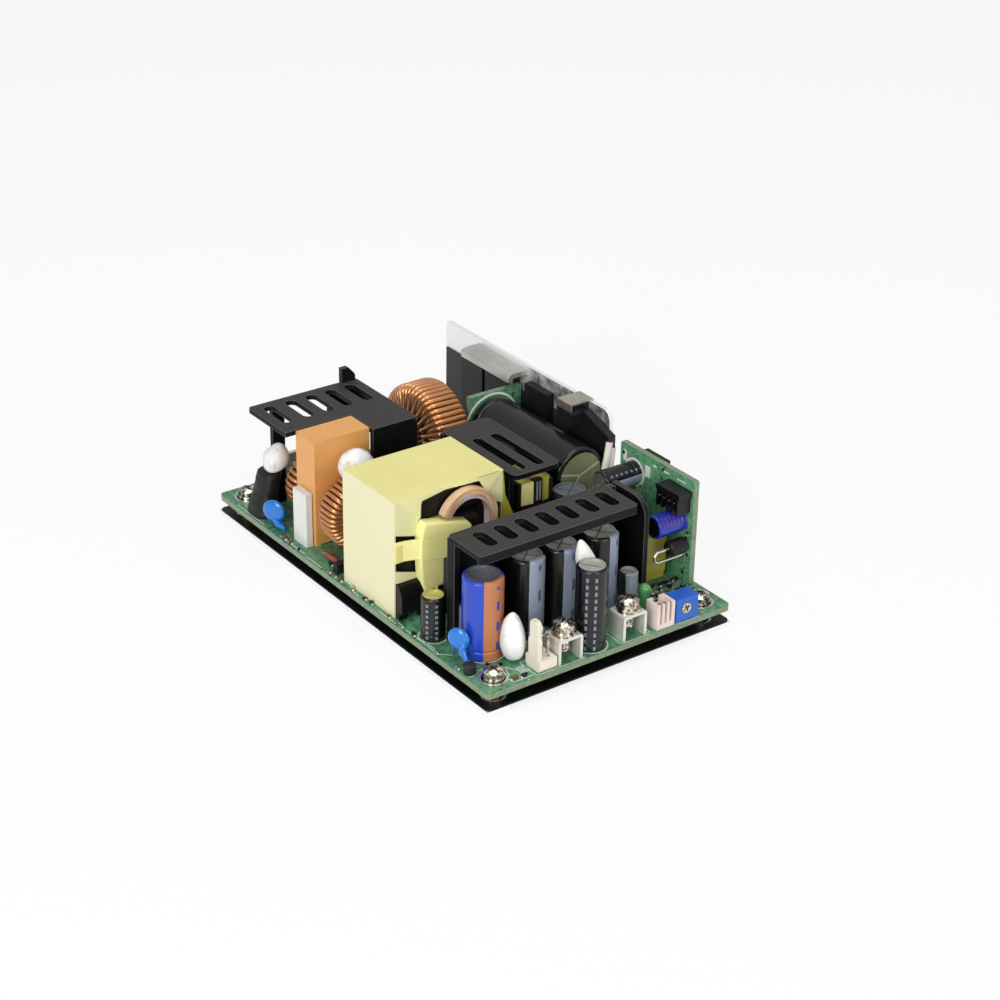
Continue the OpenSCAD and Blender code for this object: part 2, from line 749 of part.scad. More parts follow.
// A closed wire along a path.
module wire(path, d) {
    n = len(path);
    s = wire_sides;
    points = wire_rings(path, d);
    sides = [
        for (i = [0:n - 2], k = [0:s - 1])
            let (a = i * s + k, b = i * s + (k + 1) % s)
            each [[a, b, b + s], [a, b + s, a + s]]
    ];
    start_cap = [[for (k = [s - 1:-1:0]) k]];
    end_cap = [[for (k = [0:s - 1]) (n - 1) * s + k]];
    polyhedron(points, concat(sides, start_cap, end_cap), convexity = 10);
}

// A ring core with round corners, made from its outer radius, inner radius and width, round the Z axis.
module ring_core(core) {
    rotate_extrude() round_rect([core[1], -core[2] / 2], [core[0], core[2] / 2], core_corner_r);
}

core_gap = 0.04;
core_corner_r = 1.2;
winding_span = 340;
turn_steps = 8;
rear_core = [rear_choke_r - choke_wire_d - core_gap, 4.3, rear_choke_w - 2 * choke_wire_d];
front_core = [front_choke_r - choke_wire_d - core_gap, 5.6, front_choke_w - 2 * choke_wire_d];
boost_core = [boost_choke_r - boost_wire_d - core_gap, 8.4, boost_choke_w - 2 * boost_wire_d];

// Turns the ring's axis from Z to Y, with the ends of the winding at the bottom.
module ring_along_y(at) {
    translate(at) rotate([90, 0, 0]) children();
}

// Turns the ring's axis from Z to X, with the ends of the winding at the bottom.
module ring_along_x(at) {
    translate(at) rotate([90, 0, 90]) children();
}

// Holes in the board for the leads of the three chokes.
module choke_holes(extra) {
    for (q = [[rear_choke_at, rear_core], [front_choke_at, front_core]]) {
        x = lead_offset(q[1], choke_wire_d);
        lead_row([q[0].x - x, q[0].y], [2 * x, 0], 2, pcb_top + 1, extra, choke_wire_d);
    }
    y = lead_offset(boost_core, boost_wire_d);
    lead_row([boost_choke_at.x, boost_choke_at.y - y], [0, 2 * y], 2, pcb_top + 1, extra, boost_wire_d);
}

module rear_choke_core() {
    color([0.3, 0.3, 0.28]) seat() ring_along_y(rear_choke_at) ring_core(rear_core);
}

module rear_choke_winding() {
    drop = rear_choke_at.z + lead_below;
    color([0.8, 0.5, 0.3]) seat() ring_along_y(rear_choke_at)
        wire(wind_path(rear_choke_turns, rear_core, choke_wire_d, drop), choke_wire_d);
}

module front_choke_core() {
    color([0.3, 0.3, 0.28]) seat()
        ring_along_y(front_choke_at) ring_core(front_core);
}

module front_choke_winding() {
    drop = front_choke_at.z + lead_below;
    color([0.8, 0.5, 0.3]) seat() ring_along_y(front_choke_at)
        wire(wind_path(front_choke_turns, front_core, choke_wire_d, drop), choke_wire_d);
}

module boost_choke_core() {
    color([0.3, 0.3, 0.28]) seat()
        ring_along_x(boost_choke_at) ring_core(boost_core);
}

module boost_choke_winding() {
    drop = boost_choke_at.z + lead_below;
    color([0.8, 0.5, 0.3]) seat() ring_along_x(boost_choke_at)
        wire(wind_path(boost_choke_turns, boost_core, boost_wire_d, drop), boost_wire_d);
}

// ELECTROLYTIC CAPACITORS

// Half section of a can in its shrunk sleeve: a rolled groove, a rounded shoulder and a sunk top.
module can_section(d, h) {
    r = d / 2;
    rim = min(0.9, d * 0.09);
    groove = min(0.5, d * 0.05);
    difference() {
        union() {
            square([r - rim, h]);
            square([r, h - rim]);
            translate([r - rim, h - rim]) circle(rim, $fn = 24);
        }
        translate([-1, h - 0.35]) square([r - 1.6 * rim + 1, 1]);
        translate([r + groove * 0.4, h > 12 ? 2.4 : 1.6]) circle(groove, $fn = 24);
    }
}

module can(d, h) {
    rotate_extrude() intersection() {
        can_section(d, h);
        square([d, h + 1]);
    }
}

can_list = [
    [blue_cap_at, blue_cap_size], [left_cap_at, slim_cap_size], [middle_cap_at, slim_cap_size],
    [right_cap_at, right_cap_size], [front_cap_at, front_cap_size], [small_cap_at, small_cap_size],
    [supply_cap_at, supply_cap_size], [storage_cap_at, storage_cap_size]
];

// The two leads of a standing can, half its diameter apart.
module can_leads(at, size, extra = 0) {
    lead_row(at - [size[0] / 4, 0], [size[0] / 2, 0], 2, pcb_top + 1, extra);
}

// A can that stands on the board, with its leads.
module standing_can(at, size) {
    translate([at.x, at.y, pcb_top]) can(size[0], size[1] - pcb_top);
    can_leads(at, size);
}

module blue_capacitor() {
    color("royalblue") seat() standing_can(blue_cap_at, blue_cap_size);
}

module left_capacitor() {
    color([0.2, 0.2, 0.22]) seat() standing_can(left_cap_at, slim_cap_size);
}

module middle_capacitor() {
    color([0.2, 0.2, 0.22]) seat() standing_can(middle_cap_at, slim_cap_size);
}

module right_capacitor() {
    color([0.2, 0.2, 0.22]) seat() standing_can(right_cap_at, right_cap_size);
}

module front_capacitor() {
    color([0.2, 0.2, 0.22]) seat() standing_can(front_cap_at, front_cap_size);
}

module small_capacitor() {
    color([0.35, 0.36, 0.38]) seat() standing_can(small_cap_at, small_cap_size);
}

module supply_capacitor() {
    color([0.2, 0.2, 0.2]) seat() standing_can(supply_cap_at, supply_cap_size);
}

module storage_capacitor() {
    color([0.3, 0.33, 0.4]) seat() standing_can(storage_cap_at, storage_cap_size);
}

riser_y = [bulk_span[1] + 0.7, bulk_span[1] + 2.3];

// Tabs of the riser board in the main board.
module riser_tabs(extra = 0) {
    for (x = [60, 69]) block([x - extra, riser_y[0] - extra, -0.4],
        [x + 3 + extra, riser_y[1] + extra, pcb_top + eps]);
}

// The bulk capacitor, lying along Y, with its two snap leads in the riser board.
module bulk_capacitor() {
    color([0.2, 0.2, 0.2]) seat() {
        translate([bulk_at.x, bulk_span[1], bulk_at.y]) rotate([90, 0, 0])
            can(bulk_d, bulk_span[1] - bulk_span[0]);
        bulk_leads();
    }
}

// The bulk capacitor's leads.
module bulk_leads(extra = 0) {
    for (s = [-1, 1]) translate([bulk_at.x + s * 3.75, bulk_span[1] - 1, bulk_at.y]) rotate([-90, 0, 0])
        cylinder(d = 1.5 + 2 * extra, h = riser_y[1] - bulk_span[1] + 2.2);
}

// The upright green board behind the bulk capacitor.
module riser_board() {
    color("mediumseagreen") seat() {
        difference() {
            block([57.7, riser_y[0], pcb_top], [75.1, riser_y[1], 30]);
            bulk_leads(lead_gap);
            translate([72.6, riser_y[0] - 1, 27.3]) rotate([-90, 0, 0]) cylinder(r = 0.8, h = 4);
        }
        riser_tabs();
    }
}

// SMALL PARTS ON THE BOARD

bypass_low = [8.2, 22.5];
bypass_high = [14, 24.8];

// Leads of the bypass capacitor.
module bypass_leads(extra = 0) {
    lead_row([bypass_low.x + 0.4, (bypass_low.y + bypass_high.y) / 2], [5, 0], 2, pcb_top + 1, extra, 0.6);
}

// The small grey box capacitor behind the blue can.
module bypass_capacitor() {
    color([0.5, 0.48, 0.5]) seat() {
        slab(pcb_top, 12) round_rect(bypass_low, bypass_high, 0.3);
        bypass_leads();
    }
}

rear_disc_at = [1.75, 101.3, 6.6];
front_disc_at = [3.4, 16.8, 7];

// Legs of the rear disc capacitor.
module rear_disc_leads(extra = 0) {
    lead_row([rear_disc_at.x, rear_disc_at.y - 3.75], [0, 7.5], 2, 3, extra);
}

// Legs of the front disc capacitor.
module front_disc_leads(extra = 0) {
    lead_row([front_disc_at.x, front_disc_at.y - 2.5], [0, 5], 2, 3.4, extra);
}

// A dipped disc that stands on edge, with its coating drawn down over both legs.
module disc_capacitor(at, r, t, leg) {
    translate(at) rotate([0, 90, 0]) rotate_extrude() intersection() {
        translate([0, -t / 2]) square([r, t]);
        union() {
            translate([0, -t / 2]) square([r - t / 2, t]);
            translate([r - t / 2, 0]) circle(t / 2, $fn = 24);
        }
    }
    for (s = [-1, 1]) hull() {
        translate([at.x, at.y + s * leg * 0.7, at.z - r * 0.62]) sphere(0.8, $fn = 16);
        translate([at.x, at.y + s * leg, 2.8]) sphere(0.5, $fn = 16);
    }
}

module rear_disc_capacitor() {
    color("dodgerblue") seat() {
        disc_capacitor(rear_disc_at, 3.9, 2.6, 3.75);
        rear_disc_leads();
    }
}

module front_disc_capacitor() {
    color("dodgerblue") seat() {
        disc_capacitor(front_disc_at, 3.4, 2.4, 2.5);
        front_disc_leads();
    }
}

varistor_at = [3, 110.6];

// Leads of the sleeved varistor.
module varistor_leads(extra = 0) {
    lead_row([varistor_at.x, varistor_at.y - 2.5], [0, 5], 2, 3, extra, 0.8);
}

// The varistor in its black shrunk sleeve, leaning inwards.
module sleeved_varistor() {
    color([0.15, 0.15, 0.16]) seat() {
        hull() {
            translate([varistor_at.x, varistor_at.y, pcb_top]) linear_extrude(1)
                round_rect([-2.6, -4.4], [2.6, 4.4], 2.2);
            translate([varistor_at.x + 2.6, varistor_at.y - 0.6, 12.6]) rotate([0, 18, 0]) linear_extrude(1.4)
                round_rect([-2.7, -4.4], [2.7, 4.4], 2.4);
        }
        varistor_leads();
    }
}

// A bead of silicone: a lump on a flat foot of radius foot, widest at the middle and pointed at the top.
module bead(at, r, h, foot, tip) {
    translate(at) hull() {
        cylinder(r = foot, h = 0.3, $fn = 20);
        translate([0, 0, max(h * 0.42, r)]) sphere(r, $fn = 20);
        translate([0, 0, h - tip]) sphere(tip, $fn = 16);
    }
}

// Upright cylinder of a standing can, a little wider.
module can_space(at, size) {
    translate([at.x, at.y, 0]) cylinder(d = size[0] + 0.04, h = size[1] + 0.04);
}

// The white silicone that steadies tall parts.
module silicone_beads() {
    color("white") seat() {
        bead([8.1, 109, 13.9], 3.6, 8.2, 1.8, 2.4);
        bead([15.2, front_choke_at.y + 0.1, front_choke_at.z + front_choke_r], 4.4, 6, 2.4, 2.2);
        difference() {
            bead([14.2, 9.6, pcb_top], 3.35, 13.3, 1.9, 1.8);
            can_space(blue_cap_at, blue_cap_size);
        }
        difference() {
            bead([36.8, 11.5, 18], 3, 9.4, 1.4, 1);
            can_space(front_cap_at, front_cap_size);
            can_space(middle_cap_at, slim_cap_size);
        }
    }
}

// CONNECTORS

signal_pins = 2;
header_base_h = 3.2;
tongue_t = 1.3;
tongue_top = 15;

// The friction lock header for the signal wires, with its tall back wall.
module signal_header() {
    at = signal_header_at;
    color("ivory") seat() difference() {
        union() {
            plate_x(at.x, at.x + 5.2) polygon([[at.y + 0.5, pcb_top], [at.y + 5.3, pcb_top],
                [at.y + 5.8, pcb_top + 0.8], [at.y + 5.8, pcb_top + header_base_h],
                [at.y, pcb_top + header_base_h], [at.y, pcb_top + 0.8]]);
            plate_x(at.x, at.x + tongue_t) polygon([[at.y + 1, 4], [at.y + 4.8, 4], [at.y + 4.8, 9.5],
                [at.y + 4.4, 10.2], [at.y + 4.4, tongue_top - 0.7], [at.y + 3.8, tongue_top],
                [at.y + 2, tongue_top], [at.y + 1.4, tongue_top - 0.7], [at.y + 1.4, 10.2], [at.y + 1, 9.5]]);
            plate_y(at.y + 1.5, at.y + 4.3) polygon([[at.x + tongue_t - eps, tongue_top - 2.8],
                [at.x + tongue_t + 0.6, tongue_top - 2], [at.x + tongue_t - eps, tongue_top - 0.8]]);
        }
        header_pin_set([at.x + 3.4, at.y + 1.63], [0, pin_pitch], signal_pins, 20, lead_gap);
        for (y = [at.y + 1.6, at.y + 3.6])
            block([at.x + 4.2, y, pcb_top - 1], [at.x + 6, y + 0.7, pcb_top + 1]);
    }
}

output_pins = 2;

// The shrouded two pin header beside the trimmer.
module output_header() {
    at = output_header_at;
    color([0.93, 0.87, 0.83]) seat() difference() {
        block([at.x, at.y, pcb_top], [at.x + 5.6, at.y + 4.6, pcb_top + 7]);
        block([at.x + 0.7, at.y + 0.7, pcb_top + 2.2], [at.x + 4.9, at.y + 3.9, far]);
        for (x = [at.x + 0.9, at.x + 2.4, at.x + 3.9])
            block([x, at.y - 1, pcb_top + 1.4], [x + 0.8, at.y + 1, far]);
        block([at.x + 1.8, at.y + 3, pcb_top + 5.2], [at.x + 3.8, at.y + 5, far]);
        header_pin_set([at.x + 1.9, at.y + 2.3], [2, 0], output_pins, 20, lead_gap);
    }
}

input_header_at = [14, 117.4];
input_pins = 3;
input_pitch = 7.92;

// The mains header at the far end: a plain base with a low back wall.
module input_header() {
    at = input_header_at;
    color("ivory") seat() difference() {
        union() {
            block([at.x, at.y, pcb_top], [at.x + 20.4, at.y + 8, pcb_top + 3.6]);
            block([at.x, at.y, pcb_top], [at.x + 20.4, at.y + 1.4, 13]);
        }
        header_pin_set([at.x + 2.3, at.y + 5], [input_pitch, 0], input_pins, 20, lead_gap, 1.14);
    }
}

// A row of square pins from under the board up to a height.
module header_pin_set(first, step, count, top, extra = 0, w = pin_w) {
    side = w + 2 * extra;
    for (i = [0:count - 1]) translate([first.x + i * step.x, first.y + i * step.y, 0])
        block([-side / 2, -side / 2, -lead_below], [side / 2, side / 2, top]);
}

// The pins of all three headers.
module pin_set(extra = 0) {
    s = signal_header_at;
    o = output_header_at;
    m = input_header_at;
    header_pin_set([s.x + 3.4, s.y + 1.63], [0, pin_pitch], signal_pins, 10.8, extra);
    header_pin_set([o.x + 1.9, o.y + 2.3], [2, 0], output_pins, 7.6, extra, 0.5);
    header_pin_set([m.x + 2.3, m.y + 5], [input_pitch, 0], input_pins, 14, extra, 1.14);
}

module header_pins() {
    color("silver") seat() pin_set();
}

// The legs of both screw terminals where they pass through the board.
module terminal_legs(extra = 0) {
    for (at = [left_terminal_at, right_terminal_at], x = [0, terminal_size.x - terminal_t])
        block([at.x + x - extra, at.y + 1.6 - extra, -lead_below],
            [at.x + x + terminal_t + extra, at.y + terminal_size.y - 1.6 + extra, pcb_top + 1]);
}

// The two screw terminals: folded brackets with a threaded top.
module screw_terminals() {
    size = terminal_size;
    t = terminal_t;
    color("silver") seat() {
        for (at = [left_terminal_at, right_terminal_at]) difference() {
            plate_y(at.y, at.y + size.y) difference() {
                round_rect([at.x, pcb_top - 2], [at.x + size.x, size.z], 0.8);
                translate([at.x + t, pcb_top - 3]) square([size.x - 2 * t, size.z - t - pcb_top + 3]);
                translate([at.x - 1, pcb_top - 3]) square([size.x + 2, 3]);
            }
            translate([at.x + size.x / 2, at.y + size.y / 2, 0]) cylinder(r = screw_r, h = 20);
        }
        terminal_legs();
    }
}

// The two terminal screws with their washers.
module terminal_screws() {
    color("silver") seat() for (at = [left_terminal_at, right_terminal_at])
        translate([at.x + terminal_size.x / 2, at.y + terminal_size.y / 2, terminal_size.z])
            rotate(20) pan_screw(2.7, 2.9, 4.6, 3.1, 0.9);
}

led_at = [56.5, 11];
led_r = 1.6;
led_body_h = 5.6;

// Leads of the indicator.
module led_leads(extra = 0) {
    lead_row(led_at - [pin_pitch / 2, 0], [pin_pitch, 0], 2, pcb_top + 1, extra, 0.5);
}

// The green indicator with its collar and dome.
module indicator_led() {
    color("limegreen") seat() {
        translate([led_at.x, led_at.y, pcb_top]) rotate_extrude() {
            square([1.9, 1]);
            square([led_r, led_body_h]);
            intersection() {
                translate([0, led_body_h]) circle(led_r);
                translate([0, led_body_h - 0.1]) square(4);
            }
        }
        led_leads();
    }
}

rotor_at = [trimmer_at.x + 3.3, pcb_top + 3.6];
rotor_depth = 1;

// Leads of the trimmer.
module trimmer_leads(extra = 0) {
    lead_row(trimmer_at + [0.6, 2.6], [trimmer_size.x / 2 - 0.6, 0], 3, pcb_top + 1, extra, 0.6);
}

// The trimmer's blue housing with the rotor's seat in its front face.
module trimmer_body() {
    at = trimmer_at;
    color("royalblue") seat() difference() {
        union() {
            block([at.x, at.y, pcb_top + 0.3],
                [at.x + trimmer_size.x, at.y + trimmer_size.y, trimmer_size.z]);
            for (x = [0, trimmer_size.x - 1.2]) block([at.x + x, at.y, pcb_top],
                [at.x + x + 1.2, at.y + trimmer_size.y, pcb_top + 0.4]);
            trimmer_leads();
        }
        translate([rotor_at.x, at.y + rotor_depth, rotor_at.y]) rotate([90, 0, 0])
            cylinder(d = rotor_d, h = rotor_depth + 1);
    }
}

// The trimmer's rotor with its cross slot.
module trimmer_rotor() {
    at = trimmer_at;
    r = rotor_d / 2 - rotor_gap;
    arm = [r * 0.75, 0.25];
    color("gainsboro") seat() translate([rotor_at.x, at.y + rotor_depth, rotor_at.y]) rotate([90, 0, 0])
        difference() {
            cylinder(r = r, h = rotor_depth + 0.1);
            for (a = [25, 115]) rotate(a)
                block([-arm.x, -arm.y, rotor_depth - 0.5], [arm.x, arm.y, rotor_depth + 1]);
        }
}

// CONTROL BOARD AND ITS PARTS

control_t = 1.6;
grey_cap_at = [37.2, 24.6];
control_cap_at = [18.6, 18.9];
socket_low = [14.3, 22.3];
socket_high = [23.4, 28.4];
diode_at = [15.6, 13.2];
chip_span = [27, 36];

// Tabs of the control board in the main board.
module control_tabs(extra = 0) {
    for (y = [18, 38]) block([control_x - extra, y - extra, -0.4],
        [control_x + control_t + extra, y + 3 + extra, pcb_top + 1]);
}

// The upright control board.
module control_board() {
    color("seagreen") seat() {
        control_tabs();
        plate_x(control_x, control_x + control_t) difference() {
            round_rect([control_span[0], pcb_top], [control_span[1], control_top], 0.6);
            for (s = [-1, 1]) translate([grey_cap_at.x + s * 1.25, grey_cap_at.y]) circle(0.4, $fn = 24);
        }
    }
}

// A can that lies along X with its base against the control board.
module lying_can(at, d, l) {
    translate([control_x, at.x, at.y]) rotate([0, -90, 0]) can(d, l);
}

module grey_capacitor() {
    color([0.35, 0.36, 0.4]) seat() {
        lying_can(grey_cap_at, 6.3, 11.5);
        for (s = [-1, 1]) translate([control_x - 1, grey_cap_at.x + s * 1.25, grey_cap_at.y])
            rotate([0, 90, 0]) cylinder(r = 0.35, h = control_t + 1.6, $fn = 24);
    }
}

module control_capacitor() {
    color("mediumblue") seat() lying_can(control_cap_at, 6.3, 9);
}

// The black socket on the control board: a slotted box with a thin top shelf.
module control_socket() {
    low = socket_low;
    high = socket_high;
    color([0.14, 0.14, 0.14]) seat() difference() {
        union() {
            block([control_x - 4.4, low.x, high.y - 1.6], [control_x, high.x, high.y]);
            block([control_x - 3, low.x + 1, low.y], [control_x, high.x - 1, high.y]);
        }
        for (y = [low.x + 2.4, low.x + 5.4])
            block([control_x - 5, y, low.y - 1], [control_x - 1.4, y + 1.6, high.y - 2.6]);
    }
}

// The axial diode standing off the control board with one lead bent back.
module axial_diode() {
    color([0.2, 0.2, 0.2]) seat() {
        translate([control_x - 0.8, diode_at.x, diode_at.y]) rotate([0, -90, 0]) cylinder(r = 2, h = 5.2);
        translate([control_x, diode_at.x, diode_at.y]) rotate([0, -90, 0]) cylinder(r = 0.4, h = 9, $fn = 24);
        translate([control_x - 9, diode_at.x, diode_at.y - 1.5]) rotate([90, 0, 0])
            rotate([0, 0, 90]) rotate_extrude(angle = 180) translate([1.5, 0]) circle(0.4, $fn = 24);
        translate([control_x, diode_at.x, diode_at.y - 3]) rotate([0, -90, 0])
            cylinder(r = 0.4, h = 9, $fn = 24);
    }
}

module control_chip() {
    color([0.12, 0.12, 0.12]) seat()
        block([control_x + control_t, chip_span[0], control_top - 3.4],
            [control_x + control_t + 1.6, chip_span[1], control_top - 0.2]);
}

aux_low = [63.4, 21];
aux_high = [72.2, 29.6];

// Pins of the auxiliary transformer.
module auxiliary_pins(extra = 0) {
    for (y = [aux_low.y + 1, aux_high.y - 1])
        lead_row([aux_low.x + 1, y], [pin_pitch * 0.95, 0], 3, 4, extra, 0.6);
}

// The small taped transformer of the standby supply.
module auxiliary_transformer() {
    color([0.75, 0.7, 0.3]) seat() {
        slab(3.4, 15) round_rect(aux_low, aux_high, 0.8);
        block([aux_low.x + 0.6, aux_low.y + 0.3, pcb_top], [aux_high.x - 0.6, aux_low.y + 1.7, 3.4 + eps]);
        block([aux_low.x + 0.6, aux_high.y - 1.7, pcb_top], [aux_high.x - 0.6, aux_high.y - 0.3, 3.4 + eps]);
        auxiliary_pins();
    }
}

pulse_low = [42, 45.6];
pulse_high = [52.6, 56];

// Pins of the pulse transformer.
module pulse_pins(extra = 0) {
    for (y = [pulse_low.y + 1, pulse_high.y - 1])
        lead_row([pulse_low.x + 2, y], [pin_pitch, 0], 4, 4, extra, 0.6);
}

// The taped pulse transformer under the boost heat sink.
module pulse_transformer() {
    mid = (pulse_low.x + pulse_high.x) / 2;
    color([0.75, 0.72, 0.4]) seat() {
        slab(pcb_top + 1, 26) difference() {
            round_rect(pulse_low, pulse_high, 1);
            translate([mid - 0.6, pulse_low.y - 1]) square([2.6, 3]);
        }
        block([pulse_low.x + 1, pulse_low.y + 0.5, pcb_top],
            [pulse_high.x - 1, pulse_high.y - 0.5, pcb_top + 1 + eps]);
        pulse_pins();
    }
}

// HARDWARE ON THE WALL

clamp_span = [88, 110.5];
clamp_z = [31.8, 34.3];
clamp_t = 1.5;
tongue_y = [91, 99.5, 108];
tongue_w = 3;
transistor_x = wall_in - film_t;
// Middle along Y, thickness and top height of each wall transistor.
transistor_list = [[80.5, 2.4, 32], [96, 4.5, 32.6], [107.5, 4.5, 32.6]];
transistor_w = 10.2;
clamp_x = transistor_x - transistor_list[1][1] - clamp_t;

// The aluminium clamp bar: a top shelf with a lip that bears on the transistors.
module clamp_bar() {
    color("gainsboro") seat() {
        plate_y(clamp_span[0], clamp_span[1]) difference() {
            union() {
                translate([clamp_x + clamp_t, clamp_z[1] - clamp_t])
                    square([wall_in - clamp_x - clamp_t, clamp_t]);
                translate([clamp_x, clamp_z[0]]) square([clamp_t, clamp_z[1] - clamp_z[0] - clamp_t]);
                translate([clamp_x + clamp_t, clamp_z[1] - clamp_t]) circle(clamp_t);
            }
            translate([clamp_x + clamp_t, clamp_z[0] - 1])
                square([far, clamp_z[1] - clamp_z[0] - clamp_t + 1]);
        }
        clamp_tongues();
    }
}

// The clamp bar's tongues, which reach through the wall.
module clamp_tongues(extra = 0) {
    for (y = tongue_y) block([wall_in - 1, y - tongue_w / 2 - extra, clamp_z[1] - clamp_t - extra],
        [wall_out + (extra > 0 ? 1 : 0), y + tongue_w / 2 + extra, clamp_z[1] + extra]);
}

// Legs of the wall transistors.
module transistor_legs(extra = 0) {
    for (q = transistor_list, s = [-1, 0, 1])
        block([transistor_x - 1.5 - extra, q[0] + s * pin_pitch - 0.4 - extra, -lead_below],
            [transistor_x - 0.9 + extra, q[0] + s * pin_pitch + 0.4 + extra, 12 + eps]);
}

// The power transistors that stand against the wall, one thin and two thick.
module wall_transistors() {
    color([0.15, 0.15, 0.15]) seat() {
        for (q = transistor_list) block([transistor_x - q[1], q[0] - transistor_w / 2, 12],
            [transistor_x, q[0] + transistor_w / 2, q[2]]);
        transistor_legs();
    }
}

clip_span = [60, 66];
clip_x = 69.8;
clip_t = 0.5;
sensor_top = 33.6;

// The steel spring clip hooked over the wall's top edge.
module spring_clip() {
    top = wall_top;
    color("gray") seat() plate_y(clip_span[0], clip_span[1]) union() {
        translate([clip_x, top]) square([wall_out - clip_x, clip_t]);
        translate([clip_x, sensor_top + 0.05]) square([clip_t, top - sensor_top]);
        translate([wall_in - clip_t, top - 3.6]) square([clip_t, 3.6 + eps]);
    }
}

sensor_span = [48.2, 66];
sensor_x = 73.4;
sensor_low = 21;
sensor_wire_r = 0.8;

// One straight stretch of a sensor lead.
module sensor_wire(from, to) {
    hull() for (p = [from, to]) translate(p) sphere(sensor_wire_r, $fn = 16);
}

// The sleeved temperature sensor on the wall, with its two white leads down to the board.
module thermal_sensor() {
    color([0.15, 0.15, 0.15]) seat() {
        plate_x(sensor_x, wall_in - clip_t - 0.05) polygon([[sensor_span[0], sensor_low + 3],
            [sensor_span[0] + 2.8, sensor_low], [sensor_span[1], sensor_low], [sensor_span[1], sensor_top],
            [clip_span[0] - 1, sensor_top], [sensor_span[0], sensor_top - 3.4]]);
        plate_x(clip_x, sensor_x + eps) polygon([[clip_span[0], sensor_top - 4.2],
            [sensor_span[1], sensor_top - 4.2], [sensor_span[1], sensor_top],
            [clip_span[0] + 0.6, sensor_top], [clip_span[0], sensor_top - 0.8]]);
        for (s = [0, 1]) {
            near = sensor_span[0] - 0.5;
            bend = [72 + 1.6 * s, near, 20.8 - 2.8 * s];
            sensor_wire([74.1 + s, near + 0.9, 29 - 1.8 * s], bend);
            sensor_wire(bend, [72 + 1.8 * s, near - 1.2, pcb_top + sensor_wire_r]);
        }
    }
}

base_plate();
insulating_sheet();
wall_insulator();
standoffs();
circuit_board();
board_screws();
transformer_core();
transformer_bobbin();
transformer_coil();
transformer_foil();
transformer_tape();
input_heat_sink();
bridge_rectifier();
boost_heat_sink();
output_heat_sink();
output_rectifiers();
film_capacitor();
box_capacitor();
rear_choke_core();
rear_choke_winding();
front_choke_core();
front_choke_winding();
boost_choke_core();
boost_choke_winding();
bulk_capacitor();
riser_board();
blue_capacitor();
left_capacitor();
middle_capacitor();
right_capacitor();
front_capacitor();
small_capacitor();
supply_capacitor();
storage_capacitor();
bypass_capacitor();
rear_disc_capacitor();
front_disc_capacitor();
sleeved_varistor();
silicone_beads();
signal_header();
output_header();
input_header();
header_pins();
screw_terminals();
terminal_screws();
indicator_led();
trimmer_body();
trimmer_rotor();
control_board();
grey_capacitor();
control_capacitor();
control_socket();
axial_diode();
control_chip();
auxiliary_transformer();
clamp_bar();
wall_transistors();
spring_clip();
thermal_sensor();
pulse_transformer();
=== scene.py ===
"""Looks of an open frame power supply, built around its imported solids.

Sizes in this file are millimetres of the board's own frame, as in the part's source: X across the
board, Y along it and Z up, from the board's near left corner on its underside. The function seat()
turns such a point into metres of the row's frame.
"""

import math
import random
from functools import partial
from itertools import product

import bmesh
import bpy
from bpy.props import FloatProperty, FloatVectorProperty, IntProperty, PointerProperty
from mathutils import Euler, Matrix, Vector, noise


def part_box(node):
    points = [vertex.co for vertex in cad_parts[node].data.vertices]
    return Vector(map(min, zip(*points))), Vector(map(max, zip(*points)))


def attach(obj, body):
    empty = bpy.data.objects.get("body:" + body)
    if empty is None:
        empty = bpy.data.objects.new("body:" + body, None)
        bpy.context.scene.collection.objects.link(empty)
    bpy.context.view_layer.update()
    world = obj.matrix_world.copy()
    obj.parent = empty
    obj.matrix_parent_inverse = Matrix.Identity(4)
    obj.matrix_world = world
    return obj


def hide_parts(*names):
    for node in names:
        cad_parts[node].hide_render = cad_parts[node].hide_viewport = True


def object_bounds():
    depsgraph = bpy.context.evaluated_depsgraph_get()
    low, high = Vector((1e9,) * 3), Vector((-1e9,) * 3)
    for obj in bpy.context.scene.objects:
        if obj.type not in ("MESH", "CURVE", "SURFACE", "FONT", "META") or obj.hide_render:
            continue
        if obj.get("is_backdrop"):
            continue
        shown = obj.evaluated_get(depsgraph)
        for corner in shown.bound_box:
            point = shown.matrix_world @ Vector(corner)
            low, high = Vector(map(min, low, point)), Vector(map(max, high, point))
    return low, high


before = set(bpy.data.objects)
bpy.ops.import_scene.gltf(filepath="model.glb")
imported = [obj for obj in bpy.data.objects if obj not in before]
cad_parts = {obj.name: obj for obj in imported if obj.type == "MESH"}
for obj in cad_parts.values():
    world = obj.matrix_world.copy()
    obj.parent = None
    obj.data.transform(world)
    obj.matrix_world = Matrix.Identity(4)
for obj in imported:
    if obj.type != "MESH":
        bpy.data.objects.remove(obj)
CAD_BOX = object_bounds()

bl_info = {
    "name": "Open frame power supply",
    "version": (1, 0, 0),
    "blender": (4, 5, 0),
    "location": "3D View > Sidebar > Supply",
    "description": "Materials and fine pieces for an open frame power supply",
    "category": "Object",
}

MM = 0.001
SEAT = Vector((-38.75, -63.5, 4.6))
BODY = "supply"
# The first menu of the nodes where it isn't called operation.
MENUS = {"Mix": "data_type", "TexVoronoi": "distance"}
BOARD_TOP = 1.6
INK_LIFT = 0.03
INK_TOP = BOARD_TOP + INK_LIFT
# Where the corner screws stand, the control board's face and the taped core's front.
HOLES_X = (5.715, 70.485)
HOLES_Y = (5.715, 121.285)
CONTROL_FACE = 73.6
CORE_FRONT = 42.6
